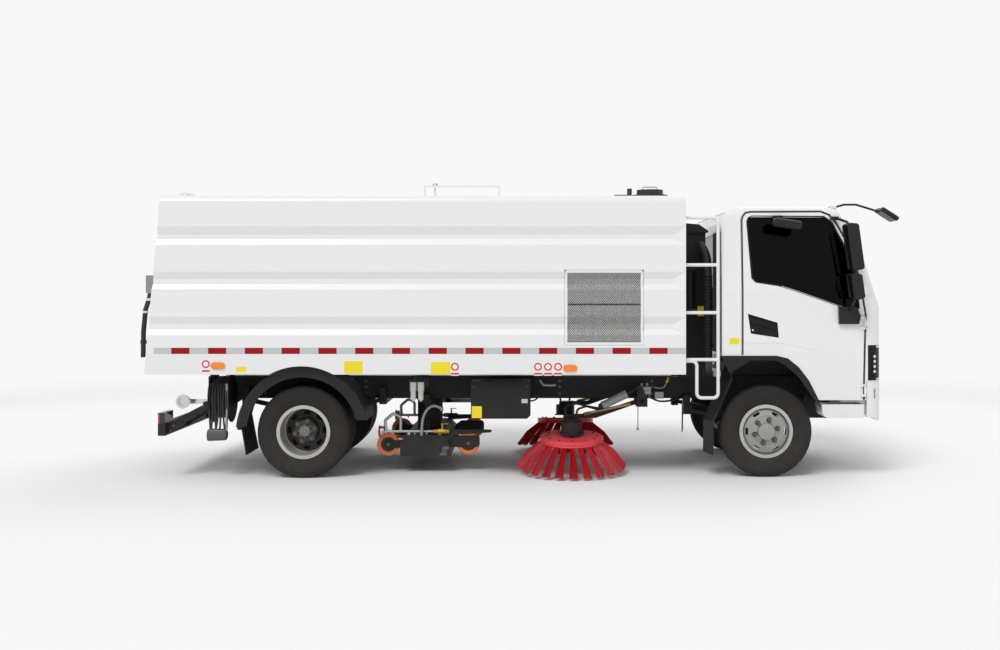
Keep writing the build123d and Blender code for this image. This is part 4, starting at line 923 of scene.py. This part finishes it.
rubber = {
    # outlines in X and Z; sections as (inwards from the outline, off the skin), skin met at the probe
    # door: outline of a black strip lying on the door skin at its edge, painted shade of the door gap
    "door": [
        (1.772, 1.010), (1.772, 2.110), (1.782, 2.150), (1.808, 2.178), (1.850, 2.187), (2.430, 2.190),
        (2.500, 2.160), (2.560, 2.085), (2.672, 1.875), (2.735, 1.637), (2.786, 1.345), (2.772, 0.760),
        (2.772, 0.612),
    ],
    "doorProbe": 0.012,
    "doorSection": ((0.0012, -0.0012), (0.012, -0.0012), (0.012, 0.001), (0.0012, 0.001)),
    "window": [
        (1.827, 2.100), (1.838, 2.128), (1.862, 2.139), (2.450, 2.136), (2.510, 2.090), (2.636, 1.850),
        (2.694, 1.620), (2.722, 1.395), (2.676, 1.378), (2.202, 1.545), (2.070, 1.585), (1.890, 1.612),
        (1.862, 1.640),
    ],
    "windowProbe": -0.013,
    "windowSection": (
        (-0.013, -0.0012), (0.001, -0.0012), (0.001, 0.0125), (-0.001, 0.0125), (-0.001, 0.001),
        (-0.013, 0.001),
    ),
    "strip": ((-0.006, -0.0022),), "stripRear": 2.07, "stripFront": 2.69, "stripTop": 1.62,
    "stripRadius": 0.003,
    "step": 0.03,
}


def onDoor(part, section, closed):
    # the section's points at each spot of an outline, laid on the skin of the door
    rows = []
    spots = dense(rubber[part], rubber["step"], closed)
    for (x, z), way in zip(spots, inward(spots, closed)):
        probe = rubber[part + "Probe"]
        hit, _ = meet("door_right", (x + way.x * probe, -1.5, z + way.y * probe), alongY)
        if hit:
            rows.append([(x + way.x * off, hit.y + out, z + way.y * off) for off, out in section])
    return spots, rows


def makeRubber():
    # the door strip is painted shade of the gap round the door; the window rubber is real rubber
    for part, piece, closed in (("door", "door_edge_*", False), ("window", "window_rubber_*", True)):
        spots, rows = onDoor(part, rubber[part + "Section"], closed)
        place(piece, [band(rows, closed)], "door_*", "sealRubber")
    spots, rows = onDoor("window", rubber["strip"], True)
    low = []
    for (x, z), row in zip(spots, rows):
        if rubber["stripRear"] < x < rubber["stripFront"] and z < rubber["stripTop"]:
            low += row
    strip = tube(low, rubber["stripRadius"], 8, 3)
    place("window_strip_*", [strip], "door_*", "trimSteel", True)


makeRubber()
print("door rubber laid")


# Lamps: round reflectors (face, across, up, radius, depth), small lights down the side, bright strips
lamps = {
    "reflectors": (
        (2.928, 0.760, 0.950, 0.050, 0.042), (2.902, 0.893, 0.950, 0.030, 0.018),
        (2.938, 0.700, 0.600, 0.047, 0.010),
    ),
    "dots": (0.874, 0.915, 0.956, 0.997), "dotX": 2.857, "dotRadius": 0.013,
    "strips": (0.802, 1.068), "stripTall": 0.018, "stripAbout": (2.865, -0.89), "stripTurns": range(6, 79, 9),
}


def reflector(x, y, z, radius, depth):
    # bowl with a rim and a bulb shield, open to the front
    profile = [
        (0.0, radius), (-0.004, radius + 0.001), (-depth, radius * 0.42), (-depth, 0.0),
        (-depth + 0.003, 0.0),
        (-depth + 0.003, radius * 0.36), (-0.006, radius * 0.93), (-0.001, radius * 0.95),
    ]
    shield = drum((x - depth * 0.6, y, z), alongX, radius * 0.3, depth * 0.5, 24, 0.001)
    return [lathe(profile, (x, y, z), "X", 48), shield]


def makeLamps():
    bowls = []
    for face, across, up, radius, depth in lamps["reflectors"]:
        bowls += reflector(face, -across, up, radius, depth)
    for z in lamps["dots"]:
        hit, normal = meet("headlamps", (lamps["dotX"], -1.5, z), alongY)
        bowls.append(drum(hit, normal, lamps["dotRadius"], 0.010, 24, 0.002))
    place("lamp_reflectors_*", bowls, "chassis", "reflectorChrome")
    strips = []
    for z in lamps["strips"]:
        rows = []
        for degrees in lamps["stripTurns"]:
            out = Vector((sin(radians(degrees)), -cos(radians(degrees)), 0))
            hit, normal = meet("headlamps", Vector((*lamps["stripAbout"], z)) + out * 0.5, -out)
            if hit:
                tall = lamps["stripTall"]
                ends = ((0.0012, 0.0), (0.0012, tall), (-0.001, tall), (-0.001, 0.0))
                rows.append([hit + normal * off + Vector((0, 0, up)) for off, up in ends])
        if len(rows) > 2:
            strips.append(band(rows, False))
    place("lamp_strips_*", strips, "chassis", "trimSteel")


makeLamps()
print("lamps dressed")


# Wipers along the foot of the windscreen
wipers = {
    "runs": ((-0.62, 0.10), (0.12, 0.84)), "low": 1.505, "high": 1.560, "off": 0.013, "blade": 0.006,
    "arm": 0.008,
    "steps": 12, "foot": Vector((0.028, 0.02, -0.045)), "bend": Vector((0.022, 0, 0.012)),
    "tip": Vector((0.006, 0, 0)),
}


def makeWipers():
    parts = []
    for start, stop in wipers["runs"]:
        line = []
        for step in range(wipers["steps"] + 1):
            share = step / wipers["steps"]
            z = wipers["low"] + (wipers["high"] - wipers["low"]) * share
            hit, normal = meet("cab_glass", (3.5, start + (stop - start) * share, z), (-1, 0, 0))
            if hit:
                line.append(hit + normal * wipers["off"])
        middle = line[len(line) // 2]
        foot = line[0] + wipers["foot"]
        route = [foot, (foot + middle) / 2 + wipers["bend"], middle + wipers["tip"]]
        parts += [tube(line, wipers["blade"], 8, 2), tube(route, wipers["arm"], 8, 4)]
        parts.append(drum(foot, (1, 0, 0.4), 0.017, 0.03, 20, 0.003))
    place("wipers", parts, "chassis", "mouldedPlastic", True)


makeWipers()
print("wipers set")


# Red handwheels at the suction nozzle
handwheel = {
    "at": Vector((-1.226, -0.680, 0.348)), "radius": 0.042, "thick": 0.008, "hub": 0.014, "spoke": 0.0055,
    "turn": 0.4,
}


def makeHandwheels():
    spot, radius, thick = handwheel["at"], handwheel["radius"], handwheel["thick"]
    turns = [tau * k / 12 for k in range(12)]
    rim = [(cos(turn) * thick, radius + sin(turn) * thick) for turn in turns]
    hub = drum(spot + Vector((0.002, 0, 0)), alongX, handwheel["hub"], 0.03, 20, 0.002)
    parts = [lathe(rim, spot, "X", 40), hub]
    for quarter in range(4):
        angle = quarter * tau / 4 + handwheel["turn"]
        way = Vector((0, cos(angle), sin(angle)))
        parts.append(tube([spot + way * out for out in (0.012, 0.025, radius)], handwheel["spoke"], 8, 2))
    place("nozzle_handwheels_*", parts, "nozzle", "wheelRed", True)


makeHandwheels()
print("handwheels set")


# Bright cylinder with ribs and collars, and strut with hexagon ends, on each brush arm
arm = {
    "cylinder": (Vector((0.655, -0.640, 0.5605)), Vector((0.862, -0.640, 0.6605))), "cylinderRadius": 0.0325,
    "ribs": 18, "ribInset": 0.018, "ribRadius": 0.0022, "collarRadius": 0.0355, "collar": 0.016,
    "strut": (Vector((0.500, -0.620, 0.4875)), Vector((0.895, -0.620, 0.5739))), "strutRadius": 0.0118,
    "endRadius": 0.0155, "endTall": 0.05,
}


def makeArms():
    start, end = arm["cylinder"]
    radius = arm["cylinderRadius"]
    way = (end - start).normalized()
    up = way.cross(Vector(alongY)).normalized()
    inset = way * arm["ribInset"]
    parts = [between(start, end, radius)]
    for k in range(arm["ribs"]):
        angle = tau * k / arm["ribs"]
        off = (up * cos(angle) + Vector(alongY) * sin(angle)) * radius
        parts.append(between(start + off + inset, end + off - inset, arm["ribRadius"], 6))
    for spot in (start, end - way * arm["collar"]):
        parts.append(between(spot, spot + way * arm["collar"], arm["collarRadius"], 32, 0.002))
    place("arm_cylinders_*", parts, "brush_arm_*", "cylinderGrey")
    start, end = arm["strut"]
    tall = (end - start).normalized() * arm["endTall"]
    parts = [between(start, end, arm["strutRadius"], 20)]
    parts += [between(spot, spot + tall, arm["endRadius"], 6, 0.001) for spot in (start, end - tall)]
    place("arm_struts_*", parts, "brush_arm_*", "strutGold")


makeArms()
print("brush arms dressed")


# Hose loops (place along the truck, sway at the foot), braided hose and foil bag on the rear reel
hanks = {
    "loops": (
        (-2.587, -0.004), (-2.563, 0.006), (-2.541, -0.003), (-2.518, 0.010), (-2.497, 0.004),
        (-2.473, -0.006),
    ),
    "radius": 0.0085, "off": 0.0105, "stagger": 0.006, "top": 0.772, "foot": 0.385, "braid": -2.447,
    "braidRadius": 0.011,
    "bag": [
        (-2.600, 0.402), (-2.612, 0.357), (-2.606, 0.302), (-2.450, 0.308), (-2.440, 0.362), (-2.454, 0.398),
    ],
    "bagNear": 0.020, "bagFar": 0.045, "bagEdge": 0.012,
}


def makeHanks():
    front = meet("hose_reel", (-2.55, -1.5, 0.62), alongY)[0].y - hanks["off"]
    top, foot = hanks["top"], hanks["foot"]
    middle = (top + foot) / 2
    loops = []
    for k, (x, sway) in enumerate(hanks["loops"]):
        out = front - hanks["stagger"] * (k % 2)
        route = [(x + 0.004, out + 0.03, top), (x, out, top - 0.03), (x + sway, out, middle)]
        route += [(x - sway, out, foot + 0.04), (x - sway * 2, out, foot)]
        loops.append(tube(route, hanks["radius"], 10, 5))
    place("hose_hanks", loops, "chassis", "hoseRubber", True)
    x = hanks["braid"]
    route = [(x, front, top), (x + 0.006, front, middle), (x - 0.004, front, foot)]
    braid = tube(route, hanks["braidRadius"], 12, 6)
    place("hose_braid", [braid], "chassis", "cylinderGrey", True)
    bag = prism(hanks["bag"], front - hanks["bagNear"], front + hanks["bagFar"], hanks["bagEdge"])
    place("hose_bag", [bag], "chassis", "nutSteel", True)


makeHanks()
print("hose loops hung")


# Fixed fittings, from their parts
def plates(side, rows):
    # blank plates: middle along and up, width and height
    return [
        (block, (x - wide / 2, -side - 0.001, z - tall / 2), (x + wide / 2, 0.0004 - side, z + tall / 2))
        for x, z, wide, tall in rows
    ]


def bolts(radius, y, places):
    return [(drum, (x, y, z), alongY, radius, radius, 6, radius * 0.12) for x, z in places]


bumper, _ = meet("front_bumper", (2.859, -1.4, 0.685), alongY)
fittings = {
    # piece: body, finish, slot, shaded smooth, parts
    "blank_plates_hopper_*": ("hopper", "plateYellow", "body_white", False, plates(1.1, (
        (-2.302, 0.897, 0.080, 0.042), (-1.391, 0.914, 0.150, 0.100), (-0.684, 0.908, 0.158, 0.096),
    ))),
    "blank_plates_chassis_*": ("chassis", "plateYellow", "body_white", False, plates(1.01, (
        (1.708, 1.122, 0.078, 0.050),
    ))),
    "cabinet_plates": ("chassis", "plateYellow", "cabinet_black", False, [
        (block, (-0.437, -0.9912, 0.492), (-0.355, -0.9899, 0.588)),
        (block, (1.472, -0.5612, 1.318), (1.534, -0.5599, 1.402)),
    ]),
    "number_plate_front": ("chassis", "plateYellow", "trim_black", False, [
        (block, (2.985, -0.22, 0.655), (2.9885, 0.22, 0.795), 0.001),
    ]),
    "number_plate_rear": ("chassis", "plateYellow", "trim_black", False, [
        (block, (-2.9935, -0.22, 0.362), (-2.9895, 0.22, 0.445), 0.001),
    ]),
    "mirror_panes_*": ("door_*", "mirrorGlass", "fitting_chrome", False, [
        (prism, [(2.621, 1.712), (2.571, 2.059), (2.5735, 2.059), (2.6235, 1.712)], -1.236, -1.099),
        (prism, [(2.633, 1.478), (2.605, 1.656), (2.6075, 1.656), (2.6355, 1.478)], -1.236, -1.099),
    ]),
    "mirror_lamps_*": ("door_*", "clearLens", "lamp_lens", True, [
        (block, (2.652, -1.2495, 1.493), (2.7285, -1.080, 1.566), 0.010, 3),
    ]),
    "roof_camera": ("chassis", "bodyPaint", "body_white", False, [
        (block, (2.520, -0.925, 2.196), (2.566, -0.875, 2.240), 0.008, 3),
        (drum, (2.545, -0.930, 2.222), alongY, 0.012, 0.012, 24, 0.002),
    ]),
    "door_handles_*": ("door_*", "sealRubber", "trim_black", False, [
        (prism, [(1.8195, 1.3455), (2.0615, 1.2725), (2.0725, 1.1495), (1.8445, 1.1845)], -0.9947, -0.9935),
        (prism, [(1.8105, 1.3215), (2.0725, 1.2465), (2.0765, 1.2075), (1.8155, 1.2835)],
         -1.0078, -0.9955, 0.001),
    ]),
    "door_locks_*": ("door_*", "reflectorChrome", "fitting_chrome", False, [
        (drum, (1.862, -0.9965, 1.212), alongY, 0.008, 0.006, 20, 0.001),
    ]),
    "bumper_marks_*": ("chassis", "cylinderGrey", "fitting_chrome", False, [
        (block, (bumper.x - 0.006, bumper.y - 0.0015, 0.640), (bumper.x + 0.006, bumper.y + 0.001, 0.732),
         0.0005),
    ]),
    "cab_rear_panels_*": ("chassis", "mouldedPlastic", "trim_black", False, [
        (block, (1.5985, -0.93, 1.02), (1.6085, -0.575, 2.02), 0.003),
        (block, (1.5985, -0.575, 1.02), (1.6085, 0.0, 1.565), 0.003),
    ]),
    "splash_panels_*": ("chassis", "mouldedPlastic", "trim_black", False, [
        (block, (2.40, -0.475, 0.44), (2.62, -0.470, 0.66), 0.002),
    ]),
    "nozzle_side_plates_*": ("nozzle", "plateSteel", "frame_black", False, [
        (prism, [(-0.722, 0.146), (-0.666, 0.146), (-0.636, 0.222), (-0.692, 0.222)],
         -0.7035, -0.6995, 0.0008),
    ]),
    # black patches over the plate's slots: painted shade
    "nozzle_plate_slots_*": ("nozzle", "gapBlack", "frame_black", False, [
        (prism, [(x - 0.014, 0.166), (x - 0.006, 0.166), (x + 0.012, 0.202), (x + 0.004, 0.202)],
         -0.7041, -0.7025)
        for x in (-0.701, -0.679, -0.657)
    ]),
    "nozzle_valves_*": ("nozzle", "brass", "fitting_chrome", False, [
        (drum, (-0.706, -0.680, 0.348), alongX, 0.0225, 0.05, 6, 0.002),
        (drum, (-0.740, -0.680, 0.348), alongX, 0.0215, 0.012, 24, 0.002),
        (drum, (-0.700, -0.680, 0.385), alongZ, 0.008, 0.05, 16, 0.002),
        (block, (-0.712, -0.688, 0.408), (-0.650, -0.672, 0.414), 0.002),
    ]),
    "nozzle_hose": ("nozzle", "cylinderGrey", "fitting_chrome", True, [
        (tube, [(-0.700, -0.735, 0.545), (-0.740, -0.740, 0.572), (-0.800, -0.748, 0.565),
                (-0.850, -0.755, 0.500), (-0.866, -0.755, 0.410), (-0.868, -0.755, 0.322)], 0.013, 12, 6),
        (drum, (-0.700, -0.735, 0.541), alongZ, 0.016, 0.03, 6, 0.001),
    ]),
    "caster_bolts_*": ("nozzle", "nutSteel", "frame_black", False, [
        (drum, (x, -0.6325, z), alongY, 0.016, 0.010, 6, 0.0015) for x,
        z in ((-0.481, 0.240), (-1.160, 0.230))
    ]),
    "pipes_fitting_chrome": ("chassis", "cylinderGrey", "fitting_chrome", True, [
        (tube, [(0.126, -0.62, 0.775), (0.140, -0.62, 0.742), (0.175, -0.62, 0.728), (0.262, -0.62, 0.733)],
         0.011, 10, 5),
        (tube, [(0.955, -0.652, 0.552), (0.955, -0.652, 0.45), (0.953, -0.652, 0.362)], 0.004, 10, 5),
        (tube, [(1.115, -0.45, 0.700), (1.16, -0.45, 0.690), (1.20, -0.45, 0.700), (1.222, -0.45, 0.742),
                (1.236, -0.45, 0.79)], 0.006, 10, 5),
    ]),
    "pipes_trim_black": ("chassis", "hoseRubber", "trim_black", True, [
        (tube, [(0.044, -0.80, 0.640), (0.080, -0.79, 0.640), (0.110, -0.74, 0.690), (0.090, -0.60, 0.760),
                (0.070, -0.375, 0.770)], 0.007, 10, 5),
        (tube, [(0.044, -0.80, 0.615), (0.092, -0.79, 0.615), (0.128, -0.74, 0.680), (0.110, -0.60, 0.745),
                (0.090, -0.375, 0.750)], 0.007, 10, 5),
        (tube, [(1.526, -0.80, 0.98), (1.526, -0.80, 1.30), (1.526, -0.80, 1.70), (1.520, -0.74, 1.86),
                (1.49, -0.62, 1.93)], 0.035, 10, 5),
        (tube, [(1.02, -0.52, 0.66), (1.09, -0.50, 0.60), (1.22, -0.46, 0.57), (1.40, -0.40, 0.62)],
         0.009, 10, 5),
    ]),
    "pipe_ribs": ("chassis", "hoseRubber", "trim_black", True, [
        (lathe, [(0, 0.034), (0.007, 0.039), (0.014, 0.034)], (1.526, -0.80, 1.0 + 0.026 * k), "Z", 28)
        for k in range(26)
    ]),
    "valve_block": ("chassis", "cylinderGrey", "fitting_chrome", False, [
        (block, (0.985, -0.560, 0.648), (1.075, -0.480, 0.712), 0.004),
        (block, (1.120, -0.420, 0.60), (1.20, -0.371, 0.66), 0.004),
    ] + [
        part for x,
        z in ((1.000, 0.632), (1.030, 0.640), (1.062, 0.630), (1.000, 0.725), (1.045, 0.728)) for part in (
            (drum, (x, -0.535, z), alongZ, 0.011, 0.034, 6, 0.001),
            (drum, (x, -0.566, 0.68), alongY, 0.009, 0.016, 6, 0.001),
        )
    ]),
    "brass_fittings": ("chassis", "brass", "fitting_chrome", False, [
        (drum, (1.236, -0.45, 0.770), alongZ, 0.014, 0.03, 6, 0.001),
        (drum, (1.222, -0.458, 0.752), alongY, 0.012, 0.03, 6, 0.001),
        (drum, (0.953, -0.652, 0.366), alongZ, 0.010, 0.022, 12, 0.002),
    ]),
    "rail_bolts_*": ("chassis", "nutSteel", "frame_black", False, bolts(0.013, -0.3745, [
        (x, z) for x in (-2.70, -2.25, -1.38, -0.45, 0.30, 1.10) for z in (0.64, 0.70, 0.75)
    ])),
    "underrun_bolts_*": ("chassis", "nutSteel", "frame_black", False, bolts(0.011, -0.9825, (
        (-2.906, 0.385), (-2.880, 0.430), (-2.640, 0.590),
    ))),
    "lid_bolts": ("chassis", "nutSteel", "cabinet_black", False, bolts(0.006, -0.9915, [
        (x, z) for x in (-0.420, 0.018) for z in (0.60, 0.75)
    ])),
}
for name, (body, material, slotName, smooth, parts) in fittings.items():
    place(name, [make(*sizes) for make, *sizes in parts], body, material, smooth)
print("fittings set")


# Seat pads: crowned cushions with two sewn channels over the seat forms
pad = {
    "across": 0.560, "rear": 1.830, "front": 2.300, "half": 0.228, "low": 1.142, "high": 1.232,
    "crown": 0.014,
    "columns": 28, "rows": 24, "channel": 0.006, "channels": (-0.5, 0.5), "channelWide": 0.035,
    "edgeDrop": 0.022,
}


def padPoint(level, u, v):
    # level 1 is the sewn top, level 0 the flat foot, which is drawn in
    pull = 1 - 0.05 * (1 - level) - 0.02 * abs(u * v) ** 3
    x = (pad["rear"] + pad["front"]) / 2 + u * (pad["front"] - pad["rear"]) / 2 * pull
    lift = pad["crown"] * (1 - u * u) * (1 - v * v) - pad["edgeDrop"] * max(abs(u), abs(v)) ** 10
    sewn = sum(exp(-((v - middle) / pad["channelWide"]) ** 2) for middle in pad["channels"])
    top = pad["high"] - pad["crown"] + lift - pad["channel"] * sewn * (1 - abs(u) ** 6)
    return (x, v * pad["half"] * pull, top if level else pad["low"])


def padMesh():
    columns, rows = pad["columns"], pad["rows"]
    points = [
        padPoint(level, i / columns * 2 - 1, j / rows * 2 - 1)
        for level in (1, 0) for i in range(columns + 1) for j in range(rows + 1)
    ]
    below = (columns + 1) * (rows + 1)
    faces = []
    for first in (0, below):
        for i in range(columns):
            for j in range(rows):
                a = first + i * (rows + 1) + j
                faces.append((a, a + rows + 1, a + rows + 2, a + 1))
    rim = [(i, 0) for i in range(columns)] + [(columns, j) for j in range(rows)]
    rim += [(i, rows) for i in range(columns, 0, -1)] + [(0, j) for j in range(rows, 0, -1)]
    rim = [i * (rows + 1) + j for i, j in rim]
    for spot, after in zip(rim, rim[1:] + rim[:1]):
        faces.append((spot, after, below + after, below + spot))
    return solid(points, faces)


for hand, side in hands:
    cushion = padMesh()
    cushion.transform(Matrix.Translation((0, hand * pad["across"], 0)))
    piece, = place(f"seat_pad_{side}", [cushion], "chassis", "padCloth", True)
print("seat pads made")


# Floor, light and camera
studio = {
    "floorRadius": 30.0, "floorThick": 0.02, "fadeStart": 7.0, "fadeEnd": 15.0,
    "floorColour": srgb(244, 244, 244),
    "worldStrength": 0.6, "backdrop": (0.94, 0.94, 0.94, 1),
    "suns": {"keySun": ((-4, -8, 10), 1.42, 25), "fillSun": ((6, 8, 9), 0.5, 40)},
    "camera": (-0.026, -11.1, 1.54), "lens": 44.46, "sensor": 36, "shift": (-0.022, -0.035),
}


def floorFinish():
    # fades out into the backdrop
    material = bpy.data.materials.new("studioFloor")
    material.use_nodes = True
    tree = material.node_tree
    shader = tree.nodes["Principled BSDF"]
    plain = {"Base Color": studio["floorColour"], "Roughness": 0.9, "Specular IOR Level": 0.1}
    for label, value in plain.items():
        shader.inputs[label].default_value = value
    spot = addNode(tree, "ShaderNodeTexCoord").outputs["Object"]
    length = vectorCalc(tree, "LENGTH", spot)["Value"]
    fade = addNode(tree, "ShaderNodeMapRange", {
        "Value": length, "From Min": studio["fadeStart"], "From Max": studio["fadeEnd"],
    }, interpolation_type="SMOOTHSTEP")
    clear = addNode(tree, "ShaderNodeBsdfTransparent").outputs[0]
    blend = addNode(tree, "ShaderNodeMixShader", {0: fade.outputs[0], 1: shader.outputs[0], 2: clear})
    tree.links.new(blend.outputs[0], tree.nodes["Material Output"].inputs["Surface"])
    return material.name


def layFloor():
    mesh = drum((0, 0, -studio["floorThick"] / 2), alongZ, studio["floorRadius"], studio["floorThick"], 96)
    paint(mesh, floorFinish())
    newObject("floor", mesh)


def lightWorld():
    # soft white light, and a pale backdrop where it is seen, reflected or looked through to
    world = bpy.data.worlds.new("studioWorld")
    scene.world = world
    world.use_nodes = True
    tree = world.node_tree
    soft = tree.nodes["Background"]
    soft.inputs["Color"].default_value = (1, 1, 1, 1)
    soft.inputs["Strength"].default_value = studio["worldStrength"]
    bright = addNode(tree, "ShaderNodeBackground", {"Color": studio["backdrop"], "Strength": 1.0})
    path = addNode(tree, "ShaderNodeLightPath").outputs
    seen = calc(tree, "MAXIMUM", path["Is Camera Ray"], path["Is Glossy Ray"])
    seen = calc(tree, "MAXIMUM", seen, path["Is Transmission Ray"])
    blend = addNode(tree, "ShaderNodeMixShader", {0: seen, 1: soft.outputs[0], 2: bright.outputs[0]})
    tree.links.new(blend.outputs[0], tree.nodes["World Output"].inputs["Surface"])


def hangSuns():
    for name, (spot, strength, spread) in studio["suns"].items():
        data = bpy.data.lights.new(name, "SUN")
        data.energy = strength
        data.angle = radians(spread)
        sun = newObject(name, data)
        sun.location = spot
        sun.rotation_mode = "QUATERNION"
        sun.rotation_quaternion = (-Vector(spot)).to_track_quat("-Z", "Y")


def setCamera():
    data = bpy.data.cameras.new("sideView")
    data.lens = studio["lens"]
    data.sensor_width = studio["sensor"]
    data.shift_x, data.shift_y = studio["shift"]
    camera = newObject("sideView", data)
    camera.location = studio["camera"]
    camera.rotation_euler = (radians(90), 0, 0)
    scene.camera = camera


layFloor()
lightWorld()
hangSuns()
setCamera()
scene.view_settings.view_transform = "Standard"

print("all pieces placed")
